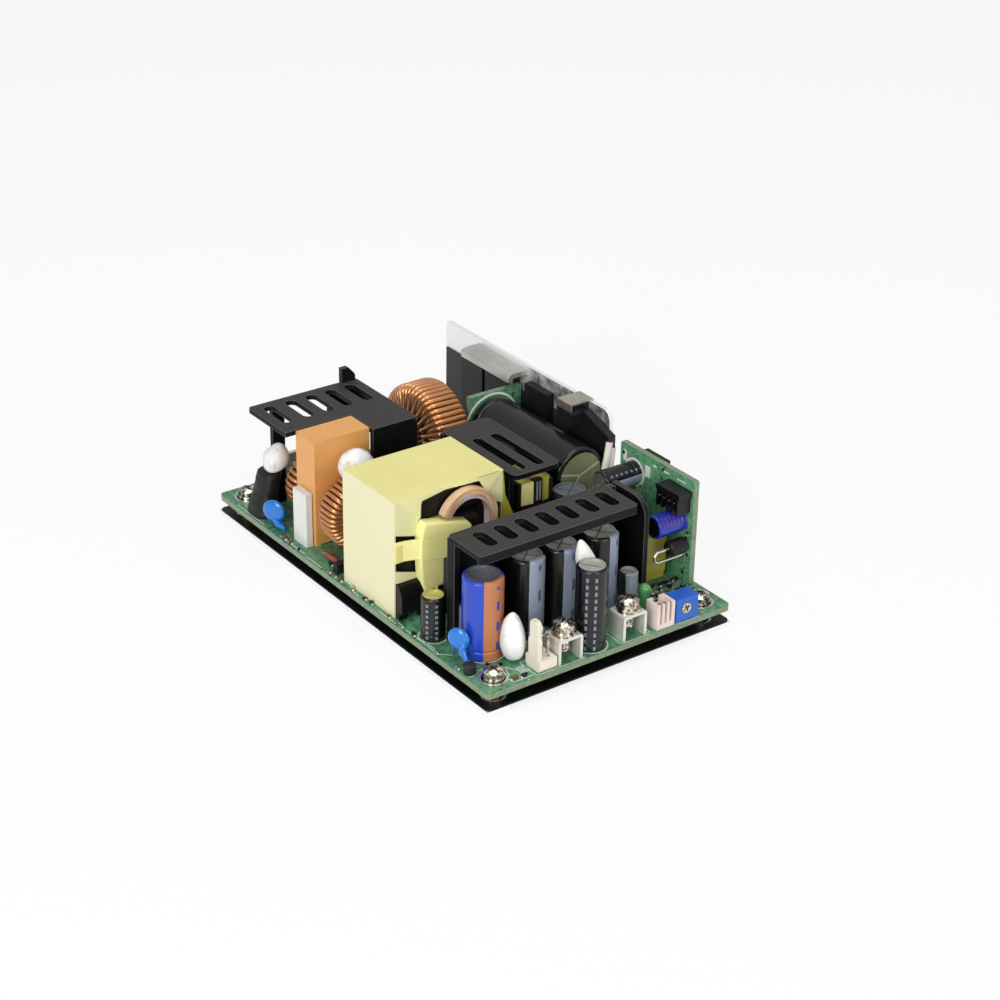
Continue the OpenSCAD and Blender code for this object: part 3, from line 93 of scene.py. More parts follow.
# For each axis, the two ways that span a circle round it, and its own way.
AXES = {
    "Z": ((1, 0, 0), (0, 1, 0), (0, 0, 1)),
    "Y": ((1, 0, 0), (0, 0, -1), (0, 1, 0)),
    "X": ((0, 1, 0), (0, 0, 1), (1, 0, 0)),
    "-Y": ((1, 0, 0), (0, 0, 1), (0, -1, 0)),
    "-X": ((0, -1, 0), (0, 0, 1), (-1, 0, 0)),
}


def seat(x, y, z):
    """A point of the board's frame, in metres of the row's frame."""
    return (Vector((x, y, z)) + SEAT) * MM


def linear(code):
    """An sRGB hex colour as linear red, green and blue."""
    parts = [int(code[i : i + 2], 16) / 255 for i in (1, 3, 5)]
    return tuple(c / 12.92 if c <= 0.04045 else ((c + 0.055) / 1.055) ** 2.4 for c in parts)


def rgba(colour, share=1.0):
    """A colour with full alpha, from a hex code or from linear values, times a share."""
    parts = linear(colour) if isinstance(colour, str) else colour
    return (*(c * share for c in parts), 1.0)


def per(millimetres):
    """The scale at which a pattern repeats once in this many millimetres."""
    return 1 / (millimetres * MM)


def cos_of(degrees):
    return math.cos(math.radians(degrees))


def circle(sides):
    """The cosine and sine of each corner of a regular figure."""
    return [(math.cos(a), math.sin(a)) for a in (2 * math.pi * k / sides for k in range(sides))]


def ring_of(centre, radius, height, axis, sides):
    """A ring of points round an axis through a centre, at a height along it."""
    across, up, out = (Vector(way) for way in AXES[axis])
    middle = Vector(centre) + height * out
    return [middle + radius * c * across + radius * s * up for c, s in circle(sides)]


def put(node, sockets):
    """Sets a node's live inputs, by name or in order: a node links by its first live output, a hex code
    is a colour, and anything else is a value."""
    live = [s for s in node.inputs if s.enabled]
    if isinstance(sockets, dict):
        sockets, live = sockets.values(), [next(s for s in live if s.name == name) for name in sockets]
    for target, value in zip(live, sockets):
        if isinstance(value, bpy.types.Node):
            value = next(s for s in value.outputs if s.enabled)
        if isinstance(value, bpy.types.NodeSocket):
            node.id_data.links.new(value, target)
        else:
            target.default_value = rgba(value) if isinstance(value, str) else value


def add_node(tree, kind, sockets=(), mode=None, **settings):
    """Adds one shader node with its settings and links. The mode is what its first menu says."""
    node = tree.nodes.new("ShaderNode" + kind)
    if mode:
        settings[MENUS.get(kind, "operation")] = mode
    for name, value in settings.items():
        setattr(node, name, value)
    put(node, sockets)
    return node


def new_material(name):
    """A fresh material, what adds its nodes, and the row's coordinates in metres."""
    material = bpy.data.materials.new(name)
    material.use_nodes = True
    material.node_tree.nodes.clear()
    add = partial(add_node, material.node_tree)
    add("OutputMaterial", (add("BsdfPrincipled"),))
    return material, add, add("TexCoord").outputs["Object"]


def finish(material, tone, roughness, normal=None, **more):
    """Sets the sockets of a material's shader, with further ones named in small letters."""
    sockets = {"Base Color": tone, "Roughness": roughness}
    sockets.update({name.replace("_", " ").title(): value for name, value in more.items()})
    if normal:
        sockets["Normal"] = normal
    put(material.node_tree.nodes["Principled BSDF"], sockets)
    return material


class Shape:
    """Points, faces and finishes of one piece, in millimetres of the board's frame."""

    def __init__(self):
        self.points, self.faces, self.finishes = [], [], []

    def add(self, points, faces, finish=0):
        start = len(self.points)
        self.points += [Vector(p) for p in points]
        self.faces += [[start + i for i in f] for f in faces]
        self.finishes += [finish] * len(faces)

    def box(self, low, high, finish=0):
        """A box between two corners."""
        faces = [(0, 1, 3, 2), (4, 6, 7, 5), (0, 4, 5, 1), (2, 3, 7, 6), (0, 2, 6, 4), (1, 5, 7, 3)]
        self.add(product(*zip(low, high)), faces, finish)

    def rings(self, rings, finish=0):
        """A closed skin over rings of points, each with the same count."""
        n = len(rings[0])
        last = (len(rings) - 1) * n
        faces = [
            (r + i, r + (i + 1) % n, r + n + (i + 1) % n, r + n + i)
            for r in range(0, last, n)
            for i in range(n)
        ]
        faces += [tuple(range(n - 1, -1, -1)), tuple(last + i for i in range(n))]
        self.add([p for ring in rings for p in ring], faces, finish)

    def tube(self, path, radius, sides=8, finish=0):
        """A round wire along a path, with radius a number or one for each point."""
        path = [Vector(p) for p in path]
        radii = radius if isinstance(radius, list) else [radius] * len(path)
        side = (path[1] - path[0]).normalized().orthogonal().normalized()
        rings = []
        for i, p in enumerate(path):
            along = (path[min(i + 1, len(path) - 1)] - path[max(i - 1, 0)]).normalized()
            side = (side - along * side.dot(along)).normalized()
            up = along.cross(side)
            rings.append([p + radii[i] * (c * side + s * up) for c, s in circle(sides)])
        self.rings(rings, finish)

    def lathe(self, centre, profile, axis="Z", sides=32, finish=0):
        """A profile of (radius, height) pairs turned about an axis through a point."""
        self.rings([ring_of(centre, r, h, axis, sides) for r, h in profile], finish)

    def band(self, centre, inner, outer, axis="Z"):
        """A flat ring of ink that faces along its axis."""
        n = 40
        points = [p for r in (inner, outer) for p in ring_of(centre, r, INK_LIFT, axis, n)]
        self.add(points, [(i, n + i, n + (i + 1) % n, (i + 1) % n) for i in range(n)])

    def stroke(self, path, width):
        """A flat line of ink along a path in X and Y."""
        for a, b in zip(path, path[1:]):
            a, b = Vector((*a, INK_TOP)), Vector((*b, INK_TOP))
            along = (b - a).normalized()
            side = Vector((-along.y, along.x, 0)) * width / 2
            a, b = a - along * width / 2, b + along * width / 2
            self.add([a - side, b - side, b + side, a + side], [(0, 1, 2, 3)])

    def lump(self, at, radii, lean, taper, seed, rough=0.07, rows=22, sides=28):
        """An egg with an uneven skin: lean shifts its top, taper narrows it upwards."""
        rings = []
        for row in range(rows + 1):
            phi = math.pi * (row / rows - 0.5)
            t = math.sin(phi)
            wide = max(math.cos(phi), 0.02) * (1 - taper * t)
            ring = []
            for c, s in circle(sides):
                way = Vector((c * wide, s * wide, t))
                push = 1 + rough * noise.noise(way * 1.4 + Vector((seed, 0, 0)))
                egg = Vector([w * r for w, r in zip(way, radii)]) * push
                ring.append(Vector(at) + egg + Vector((lean[0] * t, lean[1] * t, 0)))
            rings.append(ring)
        self.rings(rings)

    def build(self, name, materials, replaces=(), smooth=35, fuse_mm=0.0):
        """Makes the piece, gives it its finishes and lets it ride on the supply. With fuse_mm its
        overlapping shapes are melted into one skin of facets that size."""
        mesh = bpy.data.meshes.new(name)
        mesh.from_pydata([(p + SEAT) * MM for p in self.points], [], self.faces)
        for material in materials:
            mesh.materials.append(material)
        mesh.polygons.foreach_set("material_index", self.finishes)
        mesh.validate()
        work = bmesh.new()
        work.from_mesh(mesh)
        bmesh.ops.recalc_face_normals(work, faces=list(work.faces))
        work.to_mesh(mesh)
        work.free()
        mesh.shade_smooth()
        mesh.set_sharp_from_angle(angle=math.radians(smooth))
        piece = bpy.data.objects.new(name, mesh)
        bpy.context.scene.collection.objects.link(piece)
        if fuse_mm:
            melt(piece, fuse_mm)
        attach(piece, BODY)
        if replaces:
            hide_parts(*replaces)


def melt(piece, facet_mm):
    """Melts overlapping shapes into one soft skin."""
    skin = piece.modifiers.new("skin", "REMESH")
    skin.mode, skin.voxel_size, skin.use_smooth_shade = "VOXEL", facet_mm * MM, True
    soft = piece.modifiers.new("soft", "SMOOTH")
    soft.factor, soft.iterations = 0.5, 6
    bpy.context.view_layer.update()
    graph = bpy.context.evaluated_depsgraph_get()
    mesh = bpy.data.meshes.new_from_object(piece.evaluated_get(graph))
    piece.modifiers.clear()
    piece.data = mesh


def dress(material, *nodes):
    """Gives CAD nodes one material."""
    for node in nodes:
        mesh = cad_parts[node].data
        mesh.materials.clear()
        mesh.materials.append(material)


def colour(name, description, code):
    """A colour that a user would change."""
    return FloatVectorProperty(
        name=name, description=description, subtype="COLOR", size=3, default=linear(code)
    )


class SupplyColours(bpy.types.PropertyGroup):
    """Colours that a user would change."""

    board: colour("Board", "Solder mask of the boards", "#4b7f5d")
    tape: colour("Tape", "Polyester tape of the transformer", "#ebe398")
    film: colour("Film capacitor", "Case of the film capacitor", "#e8a860")
    copper: colour("Wire", "Enamelled wire of the chokes", "#e09d66")
    sinks: colour("Heat sinks", "Black finish of the heat sinks", "#09090a")


class SupplySizes(bpy.types.PropertyGroup):
    """Sizes that a user would change."""

    ink_width: FloatProperty(
        name="Ink width", description="Width of the board's white lines", unit="LENGTH", default=0.22 * MM
    )
    wire_sides: IntProperty(
        name="Wire sides", description="Sides of a round wire", default=8, min=3, max=24
    )
    lens: FloatProperty(
        name="Lens", description="Focal length of the camera, in millimetres", default=81.709
    )


# MATERIALS


def clouded(add, where, spot_mm, low, high, span=None, **pattern):
    """A tone that drifts between two colours in clouds this wide, or turns within a span of them."""
    cloud = add("TexNoise", {"Vector": where, "Scale": per(spot_mm), "Detail": 3.0, **pattern})
    if span:
        cloud = add("MapRange", (cloud, span[0], span[1]))
    return add("Mix", (cloud, low, high), "RGBA")


def relief(add, height, strength, depth_mm, edge_mm=0):
    """The bump of a height pattern, over sharp edges rounded off by this radius."""
    sockets = {"Strength": strength, "Distance": depth_mm * MM, "Height": height}
    if edge_mm:
        sockets["Normal"] = add("Bevel", (edge_mm * MM,), samples=4)
    return add("Bump", sockets)


def moulded_plastic(name, tint, roughness, grain=0.5, specular=0.5, depth=0.01):
    """An injection moulded part: an even colour with a faint cloud, a fine spark-eroded grain that
    breaks the highlight, and edges that catch a thin line of light."""
    material, add, where = new_material(name)
    tone = clouded(add, where, 5, rgba(tint, 0.86), rgba(tint))
    grit = add("TexNoise", (where, per(grain), 2.0))
    bump = relief(add, grit, 0.35, depth, 0.18)
    put(material.node_tree.nodes["Principled BSDF"], {"Specular IOR Level": specular})
    return finish(material, tone, roughness, bump)


def black_anodised_aluminium(tint):
    """Stamped aluminium, black anodised: a deep dull black with fine grit, a painted pale sheen on what
    faces up for the light from above, and painted highlights along the stamped edges."""
    material, add, where = new_material("black_anodised_aluminium")
    grit = add("TexNoise", (where, per(0.35), 4.0))
    tone = clouded(add, where, 9, rgba(tint), rgba(tint, 1.5), Detail=2.0)
    # Painted sheen: faces that look up are mixed towards pale grey, standing for the light from above.
    facing = add("SeparateXYZ", (where.node.outputs["Normal"],))
    top_sheen = add("MapRange", (facing.outputs[2], 0.6, 1, 0, 0.9))
    tone = add("Mix", (top_sheen, tone, "#3b3a38"), "RGBA")
    # Painted highlight: where the rounded normal turns from the true one, along every edge, the tone goes
    # pale grey.
    bevel = add("Bevel", (0.32 * MM,), samples=4)
    same = add("VectorMath", (bevel, add("NewGeometry").outputs["Normal"]), "DOT_PRODUCT")
    edge_highlight = add("MapRange", (same, 1.0, 0.75))
    edge = add("Mix", (edge_highlight, tone, "#77777a"), "RGBA")
    rough = add("MapRange", (grit, 0, 1, 0.45, 0.62))
    bump = add("Bump", {"Strength": 0.4, "Distance": 0.02 * MM, "Height": grit, "Normal": bevel})
    put(material.node_tree.nodes["Principled BSDF"], {"Specular IOR Level": 0.2})
    return finish(material, edge, rough, bump)


def rolled_aluminium(name, low, high, metallic, painted_reflections=False):
    """Mill finish sheet: bright, with faint rolling lines along the board. Where asked, the wall's
    inner face towards its free end carries painted dark reflections as grey blots."""
    material, add, where = new_material(name)
    stretch = add("Mapping", {"Vector": where, "Scale": (per(0.25), per(14), per(0.25))})
    lines = add("TexNoise", (stretch, 1.0, 3.0))
    base = clouded(add, where, 12, low, high)
    if painted_reflections:
        place = add("SeparateXYZ", (where,)).outputs
        facing = add("SeparateXYZ", (where.node.outputs["Normal"],))
        near = seat(0, 88, 27)
        # Painted reflection: grey blots on the wall's inner face above the film, for the dark things the
        # bright metal mirrors.
        reflection_blots = add("TexNoise", {"Vector": where, "Scale": per(5), "Detail": 4.0, "Roughness": 0.65})
        film = add("MapRange", (reflection_blots, 0.62, 0.4, 0.15))
        for share in (
            add("MapRange", (place[1], near.y, near.y - 4 * MM)),
            add("MapRange", (place[2], near.z - 2 * MM, near.z)),
            add("Math", (facing, -0.5), "LESS_THAN"),
        ):
            film = add("Math", (film, share), "MULTIPLY")
        base = add("Mix", (film, base, "#5f6468"), "RGBA")
    rough = add("MapRange", (lines, 0, 1, 0.3, 0.6))
    bump = relief(add, lines, 0.15, 0.01, 0.2)
    return finish(material, base, rough, bump, metallic=metallic)


def plated_metal(name, low, high, rough_low, rough_high, patch=1.6, soft=1.0, metallic=1.0):
    """Barrel plated steel: warm bright metal whose thin plate varies a little from place to place; where
    the two tones lie far apart, the patches are painted reflections and highlights.
    """
    material, add, where = new_material(name)
    cloud = add("TexNoise", (where, per(patch), 3.0))
    cloud = add("MapRange", (cloud, 0.5 - soft / 2, 0.5 + soft / 2))
    base = add("Mix", (cloud, low, high), "RGBA")
    rough = add("MapRange", (cloud, 0, 1, rough_low, rough_high))
    bevel = add("Bevel", (0.15 * MM,), samples=4)
    return finish(material, base, rough, bevel, metallic=metallic)


def solder_mask(name, tint, run=2.2, edge=2):
    """Glass epoxy board under green solder mask: copper shows through as paler tracks and fields, small
    tinned holes join the two sides, and the sawn edges (where the normal's axis edge is small) show
    the pale laminate."""
    material, add, where = new_material(name)
    fields = add("TexVoronoi", {"Vector": where, "Scale": per(run * 3), "Randomness": 0.8}, "CHEBYCHEV")
    patch = add("Math", (fields.outputs["Color"], 0.42), "GREATER_THAN")
    cells = {"Vector": where, "Scale": per(run), "Randomness": 0.7}
    near = add("TexVoronoi", cells, "CHEBYCHEV")
    far = add("TexVoronoi", cells, "CHEBYCHEV", feature="F2")
    gap = add("Math", (far, near), "SUBTRACT")
    track = add("Math", (gap, 0.11), "LESS_THAN")
    raised = (*(min(1.0, c * 1.3 + 0.02) for c in tint), 1.0)
    tone = add("Mix", (patch, rgba(tint, 0.74), rgba(tint)), "RGBA")
    tone = add("Mix", (track, tone, raised), "RGBA")
    holes = add("TexVoronoi", {"Vector": where, "Scale": per(3.1)})
    via = add("Math", (holes, 0.075), "LESS_THAN")
    tone = add("Mix", (via, tone, "#b9c4b4"), "RGBA")
    facing = add("SeparateXYZ", (where.node.outputs["Normal"],))
    tilt = add("Math", (facing.outputs[edge],), "ABSOLUTE")
    sawn = add("Math", (tilt, 0.5), "LESS_THAN")
    laminate = clouded(add, where, 1.1, "#4d6b4a", "#93a183")
    tone = add("Mix", (sawn, tone, laminate), "RGBA")
    height = add("Math", (track, patch), "MAXIMUM")
    bump = relief(add, height, 0.3, 0.04)
    return finish(material, tone, 0.3, bump)


def enamelled_copper(tint):
    """Drawn copper wire under clear enamel: warm metal with a glossy coat and slight tarnish."""
    material, add, where = new_material("enamelled_copper_wire")
    tone = clouded(add, where, 3, rgba(tint, 0.66), rgba(tint))
    return finish(material, tone, 0.3, metallic=0.75, coat_weight=0.4, coat_roughness=0.12)


def polyester_tape(name, tint, shade="#cfc777", sheen_side=None):
    """Clear-backed polyester tape in layers: yellow, half gloss, with soft wrinkles and darker laps.
    Where a side's board X is passed, the tape left of it is painted paler: a painted sheen of the light
    from the left."""
    material, add, where = new_material(name)
    tone = clouded(add, where, 11, shade, rgba(tint), (0.3, 0.75))
    tone = add("Mix", (0.35, rgba(tint), tone), "RGBA")
    # Painted sheen: everything left of the given X is mixed towards pale cream.
    if sheen_side:
        across = add("SeparateXYZ", (where,))
        lap = add("Math", (across, seat(sheen_side, 0, 0).x), "LESS_THAN")
        tone = add("Mix", (lap, tone, "#e6e1b8"), "RGBA")
    wrinkle = add("TexNoise", {"Vector": where, "Scale": per(6), "Detail": 4.0, "Distortion": 1.5})
    bump = relief(add, wrinkle, 0.25, 0.15, 0.3)
    return finish(material, tone, 0.36, bump)


def can_sleeve(node, axis, sleeve, stripe, stripe_at, stripe_half, top, arms, marks):
    """A capacitor can in a shrunk PVC sleeve: glossy, with one paler stripe down its side, rows of plain
    dashes, and a bare aluminium end with its pressed vent lines."""
    material, add, where = new_material("pvc_sleeve_" + node)
    low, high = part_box(node)
    middle = (low + high) / 2
    place = add("SeparateXYZ", (add("VectorMath", (where, tuple(middle)), "SUBTRACT"),))
    # The two axes of the can's section, the axis along it, and the one that gives its width.
    i, j, k, wide = {"Z": (0, 1, 2, 0), "Y": (0, 2, 1, 0), "X": (1, 2, 0, 2)}[axis]
    u, v, w = (place.outputs[n] for n in (i, j, k))
    end = (high if axis == "Z" else low)[k] - middle[k]
    radius = (high[wide] - low[wide]) / 2
    below = add("Math", (add("Math", (w, end), "SUBTRACT"),), "ABSOLUTE")
    flat = add("CombineXYZ", (u, v))
    angle = add("Math", (v, u), "ARCTAN2")
    turned = add("Math", (angle, math.radians(stripe_at)), "SUBTRACT")
    facing = add("Math", (turned,), "COSINE")
    lane = add("Math", (facing, cos_of(stripe_half)), "GREATER_THAN")
    body = add("Mix", (lane, sleeve, stripe), "RGBA")
    tint, inner, outer, beat, on = marks
    phase = add("Math", (below, beat * MM), "MODULO")
    row = 1.0
    for value, limit, test in (
        (facing, cos_of(outer), "GREATER_THAN"),
        (facing, cos_of(inner), "LESS_THAN"),
        (phase, on * MM, "LESS_THAN"),
        (below, 1.5 * MM, "GREATER_THAN"),
    ):
        row = add("Math", (row, add("Math", (value, limit), test)), "MULTIPLY")
    body = add("Mix", (row, body, tint), "RGBA")
    away = add("VectorMath", (flat,), "LENGTH")
    inside = add("Math", (away, radius * 0.83), "LESS_THAN")
    near = add("Math", (below, 0.6 * MM), "LESS_THAN")
    disc = add("Math", (inside, near), "MULTIPLY")
    cut = 0.0
    for arm in arms:
        way = (cos_of(arm), math.sin(math.radians(arm)), 0)
        along = add("VectorMath", (flat, way), "DOT_PRODUCT")
        fore = add("Math", (along, 0.0), "GREATER_THAN")
        across = add("VectorMath", (flat, (-way[1], way[0], 0)), "DOT_PRODUCT")
        gap = add("Math", (across,), "ABSOLUTE")
        thin = add("Math", (gap, radius * 0.035), "LESS_THAN")
        line = add("Math", (fore, thin), "MULTIPLY")
        cut = add("Math", (line, cut), "MAXIMUM")
    metal = clouded(add, where, 0.5, top[0], top[1])
    vent = add("Mix", (cut, metal, top[2]), "RGBA")
    tone = add("Mix", (disc, body, vent), "RGBA")
    rough = add("MapRange", (disc, 0, 1, 0.22, 0.42))
    shine = add("Math", (disc, 0.5), "MULTIPLY")
    return finish(material, tone, rough, metallic=shine)


def plain_finish(name, tint, roughness, **more):
    """A small even surface with a faint cloud in its tone; its further sockets say what it is."""
    material, add, where = new_material(name)
    tone = clouded(add, where, 2, rgba(tint, 0.85), rgba(tint))
    return finish(material, tone, roughness, **more)


def smudged_silicone():
    """Cured silicone, pressed on by hand: chalk white, a little waxy, with faint grey smudges."""
    material, add, where = new_material("white_cured_silicone")
    tone = clouded(add, where, 5, "#eeedea", "#b5aea2", (0.54, 0.7), Detail=4.0, Roughness=0.6)
    ripple = add("TexNoise", (where, per(2.4), 2.0))
    bump = relief(add, ripple, 0.3, 0.2)
    return finish(material, tone, 0.62, bump, subsurface_weight=0.1, subsurface_scale=1.0 * MM)


def copper_foil_in_film():
    """Copper foil between clear films, wound in an arch: pinkish orange outside, and along the inner
    edge a painted lilac sheen on the clear film."""
    material, add, where = new_material("copper_foil_in_film")
    offset = add("VectorMath", (where, tuple(seat(23, 0, 24.1))), "SUBTRACT")
    flat = add("VectorMath", (offset, (1, 0, 1)), "MULTIPLY")
    away = add("VectorMath", (flat,), "LENGTH")
    wrinkle = add("TexNoise", (where, per(4), 2.0))
    sway = add("MapRange", (wrinkle, 0, 1, -0.5 * MM, 0.5 * MM))
    ring = add("Math", (away, sway))
    # Painted sheen: towards the arch's inner edge the tone goes pale lilac, the gloss of the clear film.
    band = add("MapRange", (ring, 6.4 * MM, 7.4 * MM))
    tone = add("Mix", (band, "#c3bbd2", "#ecc79c"), "RGBA")
    split = add("SeparateXYZ", (flat,)).outputs
    angle = add("Math", (split[2], split[0]), "ARCTAN2")
    lane = add("CombineXYZ", (add("Math", (away, per(0.6)), "MULTIPLY"), angle))
    lift = add("TexNoise", {"Vector": lane, "Scale": 1.0, "Detail": 3.0, "Distortion": 0.4})
    streak = add("MapRange", (lift, 0.35, 0.62))
    tone = add("Mix", (streak, "#b98f70", tone), "RGBA")
    return finish(material, tone, 0.28, metallic=0.1)


# CHOKES


def turn_section(core, wire, samples):
    """One turn round a core section with round corners, as (radial, axial) offsets in order."""
    corner = 1.2
    out = corner + wire / 2 + WIRE_SWELL
    a, b = (core[0] - core[1]) / 2 - corner, core[2] / 2 - corner
    points = []
    for cx, cy, start in ((a, b, 0), (-a, b, 90), (-a, -b, 180), (a, -b, 270)):
        for k in range(samples):
            angle = math.radians(start + 90 * k / (samples - 1))
            points.append((cx + out * math.cos(angle), cy + out * math.sin(angle)))
    return points


def winding_path(core, turns, wire, drop, seed):
    """The centre line of a winding with its leads, in the ring's own frame, axis Z."""
    rng = random.Random(seed)
    span, gap = 340, 20
    section = turn_section(core, wire, 5)
    # Inside this radius the turns no longer fit side by side, so every second one climbs up.
    free = turns * wire * 1.06 * 360 / span / (2 * math.pi)
    rim = core[0] + wire / 2 + WIRE_SWELL
    x, y = rim * math.sin(math.radians(gap / 2)), -rim * math.cos(math.radians(gap / 2))
    path = [(x, -drop, 0), (x, (y - drop) / 2, 0), (x, y, 0)]
    for turn in range(turns):
        lean = rng.uniform(-0.06, 0.06)
        swell = rng.uniform(0, 0.05)
        for k, (radial, axial) in enumerate(section):
            flat = (core[0] + core[1]) / 2 + radial
            lift = min(1, max(0, (free - flat) / (free - core[1])))
            up = (turn % 2) * wire * 0.92 * lift
            out = math.copysign(up * min(1, abs(axial) / (core[2] / 2)), axial)
            r = flat - (up if radial < 0 else -swell)
            theta = math.radians(gap / 2 - 90 + span * (turn + (k + 0.5) / len(section) + lean) / turns)
            path.append((r * math.cos(theta), r * math.sin(theta), axial + out))
    path += [(-x, y, 0), (-x, (y - drop) / 2, 0), (-x, -drop, 0)]
    return path


def on_ring(path, at, axis):
    """Ring points moved to the choke's place, with its axis along Y or X."""
    if axis == "Y":
        return [(at[0] + x, at[1] - z, at[2] + y) for x, y, z in path]
    return [(at[0] + z, at[1] + x, at[2] + y) for x, y, z in path]


# How much fatter than its solid the wire is drawn, so that its turns touch.
WIRE_SWELL = 0.04
CHOKES = {
    # name: centre, axis, core (outer radius, bore radius, width), turns, wire
    "rear_choke": ((15.8, 102.2, 11.5), "Y", (7.36, 4.3, 4.0), 27, 1.1),
    "front_choke": ((14.8, 79.3, 12.6), "Y", (9.36, 5.6, 5.8), 40, 1.1),
    "boost_choke": ((50.6, 99.0, 17.3), "X", (13.81, 8.4, 8.7), 52, 1.35),
}


class SUPPLY_OT_chokes(bpy.types.Operator):
    """Wind the three ring chokes with round wire"""

    bl_idname = "supply.chokes"
    bl_label = "Chokes"

    def execute(self, context):
        copper = enamelled_copper(context.scene.supply_colours.copper)
        # Epoxy coated powder core: a dull brown skin, only seen between the turns.
        coating = plain_finish("epoxy_coated_powder_core", "#4d3220", 0.6)
        for name, (at, axis, core, turns, wire) in CHOKES.items():
            shape = Shape()
            path = winding_path(core, turns, wire, at[2] + 1, len(name) + turns)
            sides = context.scene.supply_sizes.wire_sides
            shape.tube(on_ring(path, at, axis), wire / 2 + WIRE_SWELL, sides)
            shape.build(name + "_wire", [copper], [name + "_winding"], smooth=80)
            dress(coating, name + "_core")
        return {"FINISHED"}


class SUPPLY_OT_metalwork(bpy.types.Operator):
    """Finish the base, heat sinks, screws, pins and clamps"""

    bl_idname = "supply.metalwork"
    bl_label = "Metalwork"

    def execute(self, context):
        # The wall's inner face gets painted dark reflections.
        sheet = rolled_aluminium("rolled_aluminium_sheet", "#eceeed", "#ffffff", 0.55, painted_reflections=True)
        dress(sheet, "base_plate")
        dress(rolled_aluminium("extruded_aluminium_bar", "#a6a9a2", "#e2e4de", 0.85), "clamp_bar")
        black = black_anodised_aluminium(context.scene.supply_colours.sinks)
        dress(black, "input_heat_sink", "boost_heat_sink", "output_heat_sink")
        flange = Shape()
        flange.box((27.4, 112.9, 24.6), (36.8, 114.1, 30.1))
        flange.box((35.6, 95.2, 24.6), (36.8, 112.9, 30.1))
        flange.build("sink_rear_flange", [black])
        # Nickel plated steel: warm, with painted dark reflections and painted bright highlights as its
        # colour patches.
        nickel = plated_metal("nickel_plated_steel", "#4a3c30", "#fdf3e2", 0.14, 0.3, 0.8, 0.3)
        dress(nickel, "standoffs", "board_screws", "terminal_screws", "header_pins", "trimmer_rotor")
        # Tinned brass: greyer and softer than nickel, so the brackets look milky.
        brass = plated_metal("tinned_brass", "#cfccc2", "#f3f1ea", 0.38, 0.55, metallic=0.55)
        dress(brass, "screw_terminals")
        # Spring steel strip, zinc plated: grey with a brushed grain.
        dress(plated_metal("zinc_plated_spring_steel", "#a8a49c", "#d6d2c8", 0.3, 0.42), "spring_clip")
        # Polyester film, black and satin, lies flat and hardly shows a grain.
        dress(moulded_plastic("black_polyester_film", "#0b0b0c", 0.45, 1.2, 0.3), "insulating_sheet")
        dress(moulded_plastic("black_wall_film", "#302f31", 0.5, 1.5, 0.35), "wall_insulator")
        return {"FINISHED"}


# Ink on the circuit board: rings by centre and radius, boxes by two corners, lines by X and Y in turn.
RING_MARKS = ((10.65, 17.2, 5.5), (25, 19.2, 5.1), (34.3, 4.9, 4.4), (4.9, 29.9, 3.6), (56.5, 11, 2.3))
BOX_MARKS = (
    (14.9, 0.5, 21.2, 7.6), (21.3, 0.4, 29.4, 7.8), (41, 0.4, 49.6, 7.8), (57.9, 0.15, 65.6, 5.2),
)
LINE_MARKS = (
    (1, 36, 1, 22, 3.6, 19.6), (1.2, 12, 6.4, 9.6, 9.6, 9.6, 11.4, 6.6), (1, 84, 1, 96),
    (66.5, 12, 72, 12, 74, 10), *((12.4 + i * 0.55, 3.2, 12.9 + i * 0.55, 6.4) for i in range(5)),
    (7, 8.4, 9.4, 4.2), (9.4, 4.2, 10.8, 8.2), (10.8, 8.2, 12.6, 4.4), (8.4, 1.2, 14.2, 1.2),
    (8.4, 1.2, 8.4, 3.4), (1.0, 9, 2.6, 9), (1.6, 24, 1.6, 30), (0.6, 40, 0.6, 48), (0.6, 57, 0.6, 60),
    (0.7, 75, 0.7, 82), (60, 6.4, 66, 6.4), (67, 9.6, 67, 12), (50.4, 1.2, 50.4, 6), (30.4, 6.6, 33, 8.4),
    (0.7, 104, 0.7, 118), (8.4, 118, 14, 124),
)
# Marks on the control board: near edge, lowest edge, width and height.
CONTROL_MARKS = (
    (31.0, 25.2, 2.0, 3.2), (40.6, 26.4, 1.4, 3.0), (28.4, 29.2, 1.6, 0.5), (23.6, 29.3, 2.2, 0.5),
    (17, 29.4, 3.4, 0.35),
)


